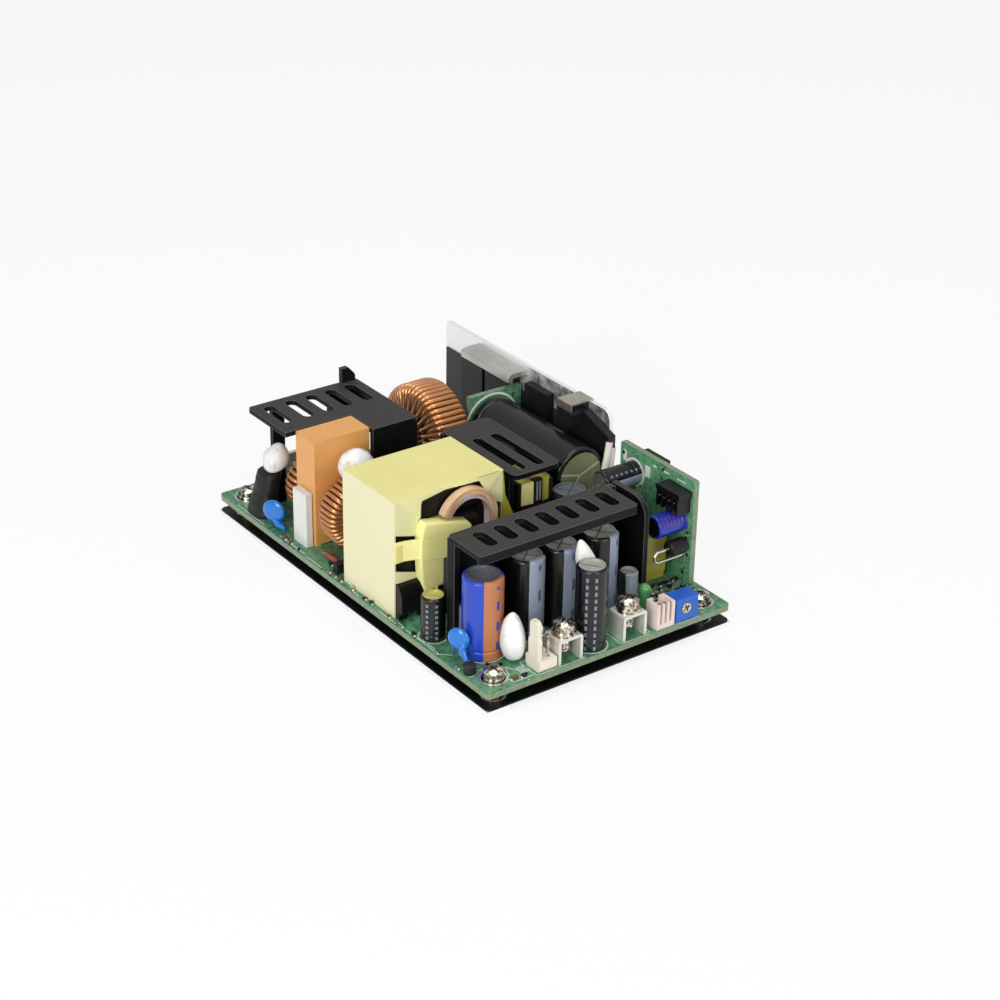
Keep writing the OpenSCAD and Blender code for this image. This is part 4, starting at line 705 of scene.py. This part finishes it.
class SUPPLY_OT_boards(bpy.types.Operator):
    """Finish the three boards with copper, ink, solder and small surface parts"""

    bl_idname = "supply.boards"
    bl_label = "Boards"

    def execute(self, context):
        green = context.scene.supply_colours.board
        dress(solder_mask("green_solder_mask", green), "circuit_board")
        # Painted light: the control board gets a copy of the green mask 1.3 times brighter, as if more
        # lit.
        lit = [c * 1.3 for c in green]
        dress(solder_mask("green_solder_mask_control", lit, 1.6, edge=0), "control_board")
        dress(solder_mask("green_solder_mask_riser", green, 1.6, edge=1), "riser_board")
        # Screen printed epoxy ink: flat and slightly off white.
        ink = plain_finish("white_screen_ink", "#e6ebe4", 0.6)
        # Solder, wave soldered: bright grey with soft dents.
        solder = plated_metal("wave_solder", "#b4b6b6", "#e4e5e3", 0.22, 0.4)
        self.ink_marks(ink, context.scene.supply_sizes.ink_width / MM)
        self.pads(solder)
        self.chips(solder)
        return {"FINISHED"}

    def chips(self, solder):
        """Small surface parts: black and brown bodies with solder at both ends, and loose joints."""
        body = moulded_plastic("black_chip_ceramic", "#151516", 0.45, 0.3, 0.4)
        brown = moulded_plastic("brown_chip_ceramic", "#6e4b35", 0.5, 0.3)
        red = moulded_plastic("red_brown_lacquer", "#9a4a3a", 0.35)
        shape = Shape()
        rng = random.Random(12)
        # Each spot: X, Y and the way that the chip lies. The field by the control board is scattered.
        rim = (14, 23, 33, 38.5, 44, 52, 55, 61, 66.5, 69, 72, 86.5, 91, 94)
        spots = [(1.1, y, 0, 1) for y in rim]
        spots += [(3.6, y, 0, 1) for y in (68.5, 71.8, 75)] + [(5.6, 69.2, 1, 0), (6.2, 72.4, 1, 0)]
        spots += [(9.6, 2.4, 1, 0), (12.2, 1.9, 1, 0), (7.6, 10.6, 0, 1), (10.4, 9.4, 1, 0)]
        for column, row in product(range(10), range(6)):
            x = 59.8 + 1.45 * column + rng.uniform(-0.3, 0.3)
            y = 7.4 + 2.1 * row + rng.uniform(-0.4, 0.4)
            spots.append((x, y, *rng.choice(((0, 1), (1, 0)))))
        screw = (HOLES_X[1], HOLES_Y[0])
        for x, y, i, j in (p for p in spots if math.dist(p[:2], screw) > 4.6):
            long, wide, tall = rng.uniform(0.9, 1.7), rng.uniform(0.5, 0.9), rng.uniform(0.3, 1.0)
            hx, hy = (long / 2, wide / 2) if i else (wide / 2, long / 2)
            finish = rng.choice((1, 1, 2, 0))
            shape.box((x - hx, y - hy, BOARD_TOP), (x + hx, y + hy, BOARD_TOP + tall), finish)
            for side in (-1, 1):
                end = (x + side * i * long / 2, y + side * j * long / 2, BOARD_TOP)
                shape.lathe(end, [(0.42, 0), (0.34, 0.16), (0.16, 0.3), (0.02, 0.34)], sides=8)
        for k in range(34):
            y, z = rng.uniform(14.1, 16.2), rng.uniform(2.4, 20)
            if k > 18:
                y, z = rng.uniform(24, 42), rng.uniform(21, 30)
            far = (CONTROL_FACE, y + rng.uniform(0.3, 0.8), z + rng.uniform(0.3, 1.0))
            shape.box((73.45, y, z), far, rng.choice((0, 0, 1)))
        # The lacquered diode on its two legs, and the black chip beside it.
        legs = ((80, 1.6), (80, 2.6), (79.2, 2.8), (73.4, 2.8), (72.6, 2.6), (72.6, 1.6))
        shape.tube([(4.6, y, z) for y, z in legs], 0.3)
        half = [(0.85, -2.1), (0.85, -1.2), (0.72, -0.8)]
        profile = [(0.3, -2.4), *half, *((r, -h) for r, h in reversed(half)), (0.3, 2.4)]
        shape.lathe((4.6, 76.3, 2.8), profile, "Y", 20, 3)
        shape.box((2.0, 69.4, BOARD_TOP), (4.9, 71.6, 4.4), 1)
        shape.build("small_surface_parts", [solder, body, brown, red])

    def ink_marks(self, ink, width):
        """White outlines round the parts: rings, boxes and plain lines."""
        shape = Shape()
        for x, y, r in RING_MARKS:
            shape.band((x, y, BOARD_TOP), r, r + 0.28)
        for x0, y0, x1, y1 in BOX_MARKS:
            shape.stroke([(x0, y0), (x1, y0), (x1, y1), (x0, y1), (x0, y0)], width)
        for line in LINE_MARKS:
            shape.stroke(list(zip(line[::2], line[1::2])), width)
        shape.build("silk_marks", [ink])
        ring = Shape()
        ring.band((65.2, 89, 20.8), 8.35, 9.0, "-Y")
        ring.band((CONTROL_FACE, 37.2, 24.6), 3.3, 4.0, "-X")
        for y, z, wide, tall in CONTROL_MARKS:
            ring.box((CONTROL_FACE - INK_LIFT, y, z), (CONTROL_FACE, y + wide, z + tall))
        ring.build("board_rings", [ink])

    def pads(self, solder):
        """Tinned rings under the corner screws."""
        shape = Shape()
        for x, y in product(HOLES_X, HOLES_Y):
            shape.lathe((x, y, BOARD_TOP), [(3.0, 0.0), (3.0, 0.06), (3.7, 0.06), (3.75, 0.0)])
        shape.build("screw_pads", [solder])


# The tape ends on the core's front: finish, how far each lifts off, and its outline in X and Z.
FLAPS = (
    (0, 0.0, ((1.95, 33.9), (4.4, 33.9), (8.9, 28.2), (9.0, 22.9), (1.95, 24.9))),
    (1, 0.1, ((3.2, 33.95), (10.6, 33.95), (9.7, 31.4), (9.6, 28.0), (8.7, 27.2), (7.6, 29.2))),
    (1, 0.0, ((10.6, 33.95), (33.6, 33.95), (27.2, 33.0), (17.0, 33.5), (9.7, 32.2))),
    (1, 0.1, ((27.0, 33.95), (34.6, 33.95), (30.3, 29.1), (28.9, 30.3), (27.4, 32.9))),
    (0, 0.0, ((34.65, 33.8), (34.75, 24.6), (32.2, 26.0), (30.4, 29.2))),
    # Painted shade: this flap takes the darker olive copy of the tape.
    (2, 0.1, ((34.8, 33.4), (35.4, 27), (38.4, 20), (38.2, 12), (34.8, 10))),
    (0, 0.0, ((1.95, 14.9), (8.2, 12.9), (8.2, 8.0), (3.6, 9.0), (1.95, 12.0))),
)


class SUPPLY_OT_transformer(bpy.types.Operator):
    """Finish the taped transformer and its foil"""

    bl_idname = "supply.transformer"
    bl_label = "Transformer"

    def execute(self, context):
        tape = context.scene.supply_colours.tape
        # Manganese zinc ferrite, sintered and ground: near black and dull, like fine stone.
        ferrite = moulded_plastic("manganese_zinc_ferrite", "#100e0e", 0.5, 0.3, 0.3, 0.03)
        dress(ferrite, "transformer_core")
        # Phenolic moulding: black, hard, with a low gloss.
        phenolic = moulded_plastic("black_phenolic_moulding", "#0d0d0d", 0.42, 0.4, 0.3)
        dress(phenolic, "transformer_bobbin")
        yellow = polyester_tape("yellow_polyester_tape", tape)
        # The wrap's left face gets the painted pale sheen.
        dress(polyester_tape("yellow_tape_wrap", tape, sheen_side=1.95), "transformer_tape")
        dress(yellow, "transformer_coil")
        olive = polyester_tape("olive_polyester_tape", linear("#b9ad4a"), "#8f8637")
        dress(olive, "pulse_transformer", "auxiliary_transformer")
        dress(copper_foil_in_film(), "transformer_foil")
        # Painted light: the coil's front gets a brighter copy of the tape against the shade of the heat
        # sink in front.
        self.wrap(polyester_tape("painted_lit_polyester_tape", linear("#fdf6a6"), "#efe892"))
        self.flaps()
        self.pulse_frame(yellow)
        return {"FINISHED"}

    def wrap(self, tape):
        """The coil's taped front, bulging out of the window, with a tongue over the foil and a cross
        band, and the coil's two ends under it."""
        shape = Shape()
        outline = [(9.4, 27.4), (15, 26.2), (22.3, 24.3), (23.7, 22.6), (21, 21.4), (18.4, 20.6)]
        outline += [(17.9, 17), (17.8, 12), (16.6, 8.4), (9.2, 7.9), (8.4, 11), (8.0, 17), (8.1, 23)]
        outline.append((8.7, 26))
        cx, cz = 13.4, 18.0
        bulge = ((CORE_FRONT, 1.0), (40.3, 1.0), (39.95, 0.985), (39.75, 0.95), (39.7, 0.9))
        shape.rings([[(cx + (x - cx) * g, y, cz + (z - cz) * g) for x, z in outline] for y, g in bulge])
        band = []
        around = [(1.9, 42.25), (4.5, 41.95), (6.4, 41.4), (7.7, 40.6), (8.6, 39.85)]
        around += [(x, 39.6) for x in (10, 12, 14, 16, 17.4)] + [(18.2, 39.9), (18.3, 41.2)]
        for x, y in around:
            sag = 0.12 * math.sin((x - 1.9) * 1.3)
            low, high = 17.3 + sag - 0.2 * max(0, x - 8), 23.0 + sag - 0.13 * max(0, x - 8)
            band.append([(x, y, low), (x, y, high), (x, y + 0.2, high), (x, y + 0.2, low)])
        shape.rings(band)
        shape.build("coil_wrap", [tape], smooth=40)
        wires = Shape()
        for *path, foot in (
            ((18.9, 40.4, 15), (18.6, 39.6, 12), (17.8, 38.9, 9), (16.2, 38.4, 6), (15.6, 38.2)),
            ((13.2, 40.6, 9.4), (12.6, 39.6, 8), (11.4, 39, 6), (11.2, 38.6)),
        ):
            wires.tube([*path, (*foot, BOARD_TOP)], 0.42, 10)
        lead = plain_finish("copper_lead_in_clear_tube", "#dcae86", 0.3)
        wires.build("coil_ends", [lead])

    def flaps(self):
        """Tape ends folded over the core's front: thin ones show a greenish cream, folded ones pale, and
        one is an olive, darker copy of the tape that is painted shade.
        """
        finishes = [
            polyester_tape("thin_folded_tape", linear("#e9e8b4"), "#d2d296"),
            polyester_tape("double_folded_tape", linear("#f3efb4"), "#e4de8e"),
            # Painted shade: the third is a darker olive copy of the tape.
            polyester_tape("shaded_folded_tape", linear("#c2b943"), "#8f8a2c"),
        ]
        shape = Shape()
        for finish, lift, outline in FLAPS:
            shape.rings([[(x, y, z) for x, z in outline] for y in (42.3 - lift, CORE_FRONT)], finish)
        shape.build("tape_flaps", finishes)

    def pulse_frame(self, yellow):
        """The pulse transformer's black bobbin bars, with tape between them."""
        black = moulded_plastic("black_bobbin_bars", "#0f0f10", 0.4, 0.4, 0.4)
        grey = plain_finish("tinned_bobbin_pins", "#8d9098", 0.35)
        shape = Shape()
        for low, high, finish in (
            ((41.7, 45.2, 2.6), (42.7, 56.2, 26.4), 0),
            ((46.9, 45.1, 2.6), (49.4, 46.4, 26.4), 0),
            ((52.1, 45.2, 2.6), (52.9, 56.2, 25.4), 0),
            ((41.7, 45.2, 2.6), (52.9, 45.6, 19.6), 0),
            ((47.5, 45.0, 20.4), (48.0, 45.1, 25.8), 1),
            ((48.5, 45.0, 20.4), (48.9, 45.1, 25.8), 1),
        ):
            shape.box(low, high, finish)
        corners = ((42.9, 45.3, 20), (46.6, 45.0, 19.8), (46.8, 45.3, 25.9), (42.8, 45.5, 26.1))
        shape.rings([corners, [(x, 45.6, z) for x, _, z in corners]], 2)
        shape.build("pulse_bobbin_bars", [black, grey, yellow])


# Tones of a can's bare end: the metal's two, and the vent lines'. Then the vent lines' angles.
BRIGHT = ("#85857f", "#cbc8be", "#44433f")
CROSS, LINE = (40, 130, 220, 310), (130, 310)
SLIM = ("Z", "#0b0b0d", "#8a94a8", -80, 36, BRIGHT, CROSS, ("#545c70", 0, 6, 8.5, 3.0))
CANS = {
    # node: axis, sleeve, stripe, stripe angle, its half width, end tones, vent lines, and the dashes'
    # tint, inner angle, outer angle, beat and length
    "blue_capacitor": ("Z", "#2344b4", "#b5734a", -81, 42, ("#4b4c50", "#9d9da0", "#6f6d66"), (),
                       ("#2b3fae", 0, 5, 5.6, 2.4)),
    "left_capacitor": SLIM,
    "middle_capacitor": SLIM,
    "right_capacitor": ("Z", "#0b0b0d", "#8a94a8", -64, 30, BRIGHT, CROSS,
                        ("#545c70", 0, 5, 8.5, 3.0)),
    "front_capacitor": ("Z", "#0b0b0d", "#131316", -128, 34, ("#8f8d88", "#dedbd2", "#5a584f"), LINE,
                        ("#7d828e", 12, 21, 1.9, 1.1)),
    "small_capacitor": ("Z", "#141517", "#7c8692", -94, 52, BRIGHT, LINE,
                        ("#2c3036", 48, 52, 9, 8)),
    "supply_capacitor": ("Z", "#0b0b0c", "#131315", -132, 40, ("#b9b56a", "#dcd88a", "#8d8a50"), LINE,
                         ("#7c8086", 16, 29, 1.5, 0.8)),
    "storage_capacitor": ("Z", "#17191d", "#6b7488", -100, 35, ("#5b5e66", "#868b94", "#44464c"), CROSS,
                          ("#17191d", 0, 1, 2, 1)),
    "bulk_capacitor": ("Y", "#0c0b0b", "#131211", 60, 24, ("#8a8a62", "#b0af92", "#e4e3d8"),
                       (20, 165, 242), ("#0c0b0b", 0, 1, 2, 1)),
    "grey_capacitor": ("X", "#0d0e10", "#8c96aa", -150, 44, ("#5d5d5a", "#8b8a84", "#9a9992"), LINE,
                       ("#666e7c", 66, 78, 1.6, 0.8)),
    "control_capacitor": ("X", "#2434a2", "#2434a2", 140, 26, ("#08080a", "#101012", "#0c0c0e"), (),
                          ("#64427a", 6, 28, 1.2, 0.6)),
}


class SUPPLY_OT_capacitors(bpy.types.Operator):
    """Finish the cans, the film and box capacitors and the discs"""

    bl_idname = "supply.capacitors"
    bl_label = "Capacitors"

    def execute(self, context):
        for node, style in CANS.items():
            dress(can_sleeve(node, *style), node)
        # Polypropylene case filled with epoxy: orange, smooth, half matt.
        film = context.scene.supply_colours.film
        dress(moulded_plastic("orange_moulded_case", film, 0.42, 0.8), "film_capacitor")
        # PBT case: white, with a fine grain.
        dress(moulded_plastic("white_moulded_case", "#e9e9e4", 0.4, 0.6), "box_capacitor")
        dress(moulded_plastic("grey_moulded_case", "#8d8890", 0.4, 0.6), "bypass_capacitor")
        self.discs()
        return {"FINISHED"}

    def discs(self):
        """The two blue discs, each with its dip drawn down over the legs, and a small black foot."""
        # Epoxy dip: thick, wet looking blue that shines like glass.
        blue = plain_finish("blue_dipped_epoxy", "#0e76d2", 0.12, coat_weight=0.5)
        black = moulded_plastic("black_rubber_foot", "#17171a", 0.55)
        steps = 10
        lean = Matrix.Rotation(math.radians(30), 3, "Z")
        for name, at, r, t, legs in (
            ("rear_disc", (2.85, 102.2, 5.9), 3.4, 2.2, ((97.2, 1.0), (105.4, 0.55))),
            ("front_disc", (3.4, 16.9, 7.8), 2.95, 2.1, ((13.7, 0.9), (19.2, 0.5))),
        ):
            shape = Shape()
            arc = (math.pi * (i / steps - 0.5) for i in range(steps + 1))
            profile = [(r * max(0.02, math.cos(a)) ** 0.7, t / 2 * math.sin(a)) for a in arc]
            shape.lathe(at, profile, "X", 40)
            shape.points = [Vector(at) + lean @ (p - Vector(at)) for p in shape.points]
            for y, thick in legs:
                side = math.copysign(0.55 * r, y - at[1])
                path = [(at[1] + side * 0.7, at[2] - r * 0.5), (at[1] + side, at[2] - r * 0.95)]
                path = [(at[0], *p) for p in (*path, (y, 2.9), (y, BOARD_TOP))]
                shape.tube(path, [thick * share for share in (1.3, 1.05, 0.6, 0.42)], 16)
            shape.build(name + "_dip", [blue], [name + "_capacitor"], fuse_mm=0.22)
        foot = Shape()
        foot.lathe((2.3, 10.7, BOARD_TOP), [(1.55, 0.0), (1.6, 0.2), (1.6, 2.3), (1.3, 2.6), (0.02, 2.6)])
        foot.build("small_foot", [black])


class SUPPLY_OT_small_parts(bpy.types.Operator):
    """Finish the headers, chips, transistors, indicator, trimmer, silicone and sensor"""

    bl_idname = "supply.small_parts"
    bl_label = "Small parts"

    def execute(self, context):
        # Nylon: warm cream, a little waxy.
        dress(moulded_plastic("cream_nylon", "#ece5d2", 0.45, 0.7), "signal_header", "input_header")
        dress(moulded_plastic("pink_white_nylon", "#ead9d0", 0.45, 0.7), "output_header")
        # Epoxy moulding compound: black, with a fine matt grain.
        compound = moulded_plastic("black_epoxy_compound", "#121213", 0.5, 0.25, 0.35)
        dress(compound, "bridge_rectifier", "output_rectifiers", "wall_transistors", "control_chip")
        socket = moulded_plastic("black_moulded_socket", "#0e0e0f", 0.42, 0.5, 0.35)
        dress(socket, "control_socket")
        dress(moulded_plastic("blue_moulded_housing", "#1f5fc4", 0.38, 0.6), "trimmer_body")
        # Clear epoxy tinted green: light goes some way in.
        glow = {"transmission_weight": 0.45, "coat_weight": 0.4}
        dress(plain_finish("green_tinted_epoxy", "#7ad686", 0.1, **glow), "indicator_led")
        # Polyolefin heat shrink: black and leathery.
        shrink = moulded_plastic("black_heat_shrink", "#141416", 0.5, 0.9, 0.35, 0.12)
        dress(shrink, "thermal_sensor")
        self.beads()
        self.diode(compound)
        self.sensor_leads()
        self.socket_pins(socket)
        self.varistor(shrink)
        return {"FINISHED"}

    def varistor(self, shrink):
        """The sleeved disc by the mains end: shrink tube drawn tight over it, wrinkled and pinched."""
        shape = Shape()
        rings = []
        for row in range(27):
            t = row / 26
            z = BOARD_TOP + 12.4 * t
            x, y = 3.9 + 2.6 * t ** 1.2, 110.6 - 0.6 * t
            a = 3.1 - 0.5 * t + 0.15 * math.sin(9 * t)
            b = 4.5 - 0.9 * t - (0.45 if row in (0, 26) else 0)
            ring = []
            for u, v in circle(40):
                push = (abs(u) ** 2.6 + abs(v) ** 2.6) ** (-1 / 2.6)
                push *= 1 + 0.05 * noise.noise(Vector((u * 1.5, v * 1.5, t * 9)))
                ring.append((x + a * u * push * (0.9 if row == 26 else 1), y + b * v * push, z))
            rings.append(ring)
        shape.rings(rings)
        for y in (106.9, 114.3):
            shape.tube([(3, y, -1.2), (3, y, 2.4)], 0.4, 10)
        shape.build("varistor_sleeve", [shrink], ["sleeved_varistor"], smooth=70)

    def socket_pins(self, socket):
        """The socket's fins and bright contacts."""
        pins = plated_metal("bright_contact_pins", "#8c8880", "#f5f2ec", 0.2, 0.3)
        shape = Shape()
        for i in range(5):
            y = 14.6 + 1.95 * i
            shape.box((69.1, y, 22.5), (73.4, y + 0.6, 26.9))
            if i < 4:
                shape.box((68.9, y + 1.0, 25.6), (73.4, y + 1.4, 26.0), 1)
                shape.box((69.7, y + 1.0, 23.4), (73.4, y + 1.4, 23.8), 1)
        shape.build("socket_contacts", [socket, pins])

    def beads(self):
        """Four lumps of silicone where the builder pressed them on."""
        shape = Shape()
        shape.lump((7.9, 109, 17.7), (3.5, 3.6, 4.1), (0.7, -0.4), 0.08, 3)
        shape.lump((15.1, 79.5, 25.2), (5.0, 4.7, 5.0), (-0.5, 0), 0.05, 7)
        shape.lump((14.2, 9.6, 8.2), (3.0, 3.3, 6.7), (-0.3, 0), 0.16, 11, rough=0.05)
        shape.lump((37.3, 11.8, 22.6), (2.4, 2.0, 4.5), (-1.2, 0.3), 0.45, 16, rough=0.05)
        white = smudged_silicone()
        shape.build("silicone_lumps", [white], ["silicone_beads"], smooth=80)

    def diode(self, compound):
        """The axial diode off the control board, with its long lead bent back."""
        lead = plated_metal("tinned_copper_lead", "#c9c6bd", "#f2f0ea", 0.2, 0.35)
        face, y, z = CONTROL_FACE, 15.6, 13.2
        shape = Shape()
        body = [(0.05, 0), (1.7, 0), (2, 0.3), (2, 4.9), (1.7, 5.2), (0.05, 5.2)]
        shape.lathe((face - 0.8, y, z), [(r, -h) for r, h in body], "X", 28)
        turn = (0.3, 0.8, 1.3, 1.8, 2.3, 2.8)
        bend = [(face - 9 - 1.5 * math.sin(a), y, z - 1.5 + 1.5 * math.cos(a)) for a in turn]
        long = [(face - 5.5, y, z), (face - 9, y, z), *bend, (face - 9, y, z - 3), (face, y, z - 3)]
        shape.tube(long, 0.4, 10, 1)
        shape.tube([(face, y, z), (face - 1, y, z)], 0.4, 10, 1)
        shape.build("axial_diode_fine", [compound, lead], ["axial_diode"])

    def sensor_leads(self):
        """White sleeving over the sensor's two leads."""
        sleeving = moulded_plastic("white_glass_sleeving", "#ece8de", 0.6, depth=0.03)
        shape = Shape()
        for s in (0, 1):
            path = [(74.1 + s, 48.5, 28.6 - 1.8 * s), (73.1 + 1.3 * s, 48.1, 24.8 - 2.2 * s)]
            path += [(72 + 1.6 * s, 47.7, 20.8 - 2.8 * s), (72 + 1.7 * s, 47.1, 12)]
            shape.tube([*path, (72 + 1.8 * s, 46.5, BOARD_TOP)], 0.95, 14)
        shape.build("sensor_sleeving", [sleeving], smooth=60)


class SUPPLY_OT_stage(bpy.types.Operator):
    """Set the floor, the soft light and the camera"""

    bl_idname = "supply.stage"
    bl_label = "Stage"

    def execute(self, context):
        self.floor()
        self.lights()
        camera = bpy.data.cameras.new("camera")
        camera.sensor_fit = "HORIZONTAL"
        camera.sensor_width = 36.0
        camera.lens = context.scene.supply_sizes.lens
        camera.clip_start, camera.clip_end = 0.01, 20
        # Where the photo was taken from, fitted to the board's corners and corner screws.
        holder = bpy.data.objects.new("camera", camera)
        holder.location = (-0.30853, -0.43127, 0.29281)
        holder.rotation_euler = Euler([math.radians(a) for a in (62.7734, -0.8922, -36.0600)])
        context.scene.collection.objects.link(holder)
        context.scene.camera = holder
        context.scene.view_settings.view_transform = "Standard"
        return {"FINISHED"}

    def floor(self):
        """A pale floor that keeps the shadow and reads as white to the camera."""
        material, add, _ = new_material("white_paper_floor")
        finish(material, "#f2f2f2", 0.9)
        rays = add("LightPath").outputs
        seen = add("Math", (rays["Is Camera Ray"], rays["Is Glossy Ray"]), "MAXIMUM")
        seen = add("Math", (seen, rays["Is Transmission Ray"]), "MAXIMUM")
        share = add("Math", (seen, 0.8), "MULTIPLY")
        white = add("Emission", ("#ffffff", 1.0))
        nodes = material.node_tree.nodes
        blend = add("MixShader", (share, nodes["Principled BSDF"], white))
        put(nodes["Material Output"], (blend,))
        mesh = bpy.data.meshes.new("floor")
        half = 6.0
        corners = [(-half, -half, 0), (half, -half, 0), (half, half, 0), (-half, half, 0)]
        mesh.from_pydata(corners, [], [(0, 1, 2, 3)])
        mesh.materials.append(material)
        floor = bpy.data.objects.new("floor", mesh)
        floor.location.z = -0.0002
        bpy.context.scene.collection.objects.link(floor)
        floor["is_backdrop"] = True

    def lights(self):
        """A pale surround and three soft boxes, the brightest on the left."""
        world = bpy.data.worlds.new("surround")
        world.use_nodes = True
        world.node_tree.nodes.clear()
        add = partial(add_node, world.node_tree)
        rays = add("LightPath").outputs
        seen = add("Math", (rays["Is Camera Ray"], rays["Is Transmission Ray"]), "MAXIMUM")
        level = add("MapRange", (seen, 0, 1, 0.38, 1.0))
        mirrored = add("Math", (rays["Is Glossy Ray"], 0.55), "MULTIPLY")
        level = add("Math", (level, mirrored), "MAXIMUM")
        sky = add("Background", ("#ffffff", level))
        add("OutputWorld", (sky,))
        bpy.context.scene.world = world
        for name, place, size, watts in (
            ("left_box", (-0.85, -0.5, 0.45), 0.5, 6.3),
            ("top_box", (0.05, 0.0, 1.1), 0.6, 4.5),
            ("front_box", (0.0, -1.0, 0.4), 0.4, 2.6),
        ):
            lamp = bpy.data.lights.new(name, "AREA")
            lamp.size = size
            lamp.energy = watts
            holder = bpy.data.objects.new(name, lamp)
            holder.location = place
            holder.rotation_euler = (-Vector(place)).to_track_quat("-Z", "Y").to_euler()
            bpy.context.scene.collection.objects.link(holder)


class SUPPLY_PT_panel(bpy.types.Panel):
    """Lists the operators that dress the supply"""

    bl_idname = "SUPPLY_PT_panel"
    bl_label = "Power supply"
    bl_space_type = "VIEW_3D"
    bl_region_type = "UI"
    bl_category = "Supply"

    def draw(self, context):
        for operator in OPERATORS:
            self.layout.operator(operator.bl_idname)


OPERATORS = (
    SUPPLY_OT_stage,
    SUPPLY_OT_metalwork,
    SUPPLY_OT_boards,
    SUPPLY_OT_transformer,
    SUPPLY_OT_chokes,
    SUPPLY_OT_capacitors,
    SUPPLY_OT_small_parts,
)
CLASSES = (SupplyColours, SupplySizes, *OPERATORS, SUPPLY_PT_panel)


def register():
    for cls in CLASSES:
        bpy.utils.register_class(cls)
    bpy.types.Scene.supply_colours = PointerProperty(type=SupplyColours)
    bpy.types.Scene.supply_sizes = PointerProperty(type=SupplySizes)


def unregister():
    del bpy.types.Scene.supply_sizes
    del bpy.types.Scene.supply_colours
    for cls in reversed(CLASSES):
        bpy.utils.unregister_class(cls)


def main():
    """Dresses the whole supply."""
    register()
    for operator in OPERATORS:
        group, name = operator.bl_idname.split(".")
        getattr(getattr(bpy.ops, group), name)()
    boxes = [[[float(c) for c in corner] for corner in box] for box in (CAD_BOX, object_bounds())]


if __name__ == "__main__":
    main()
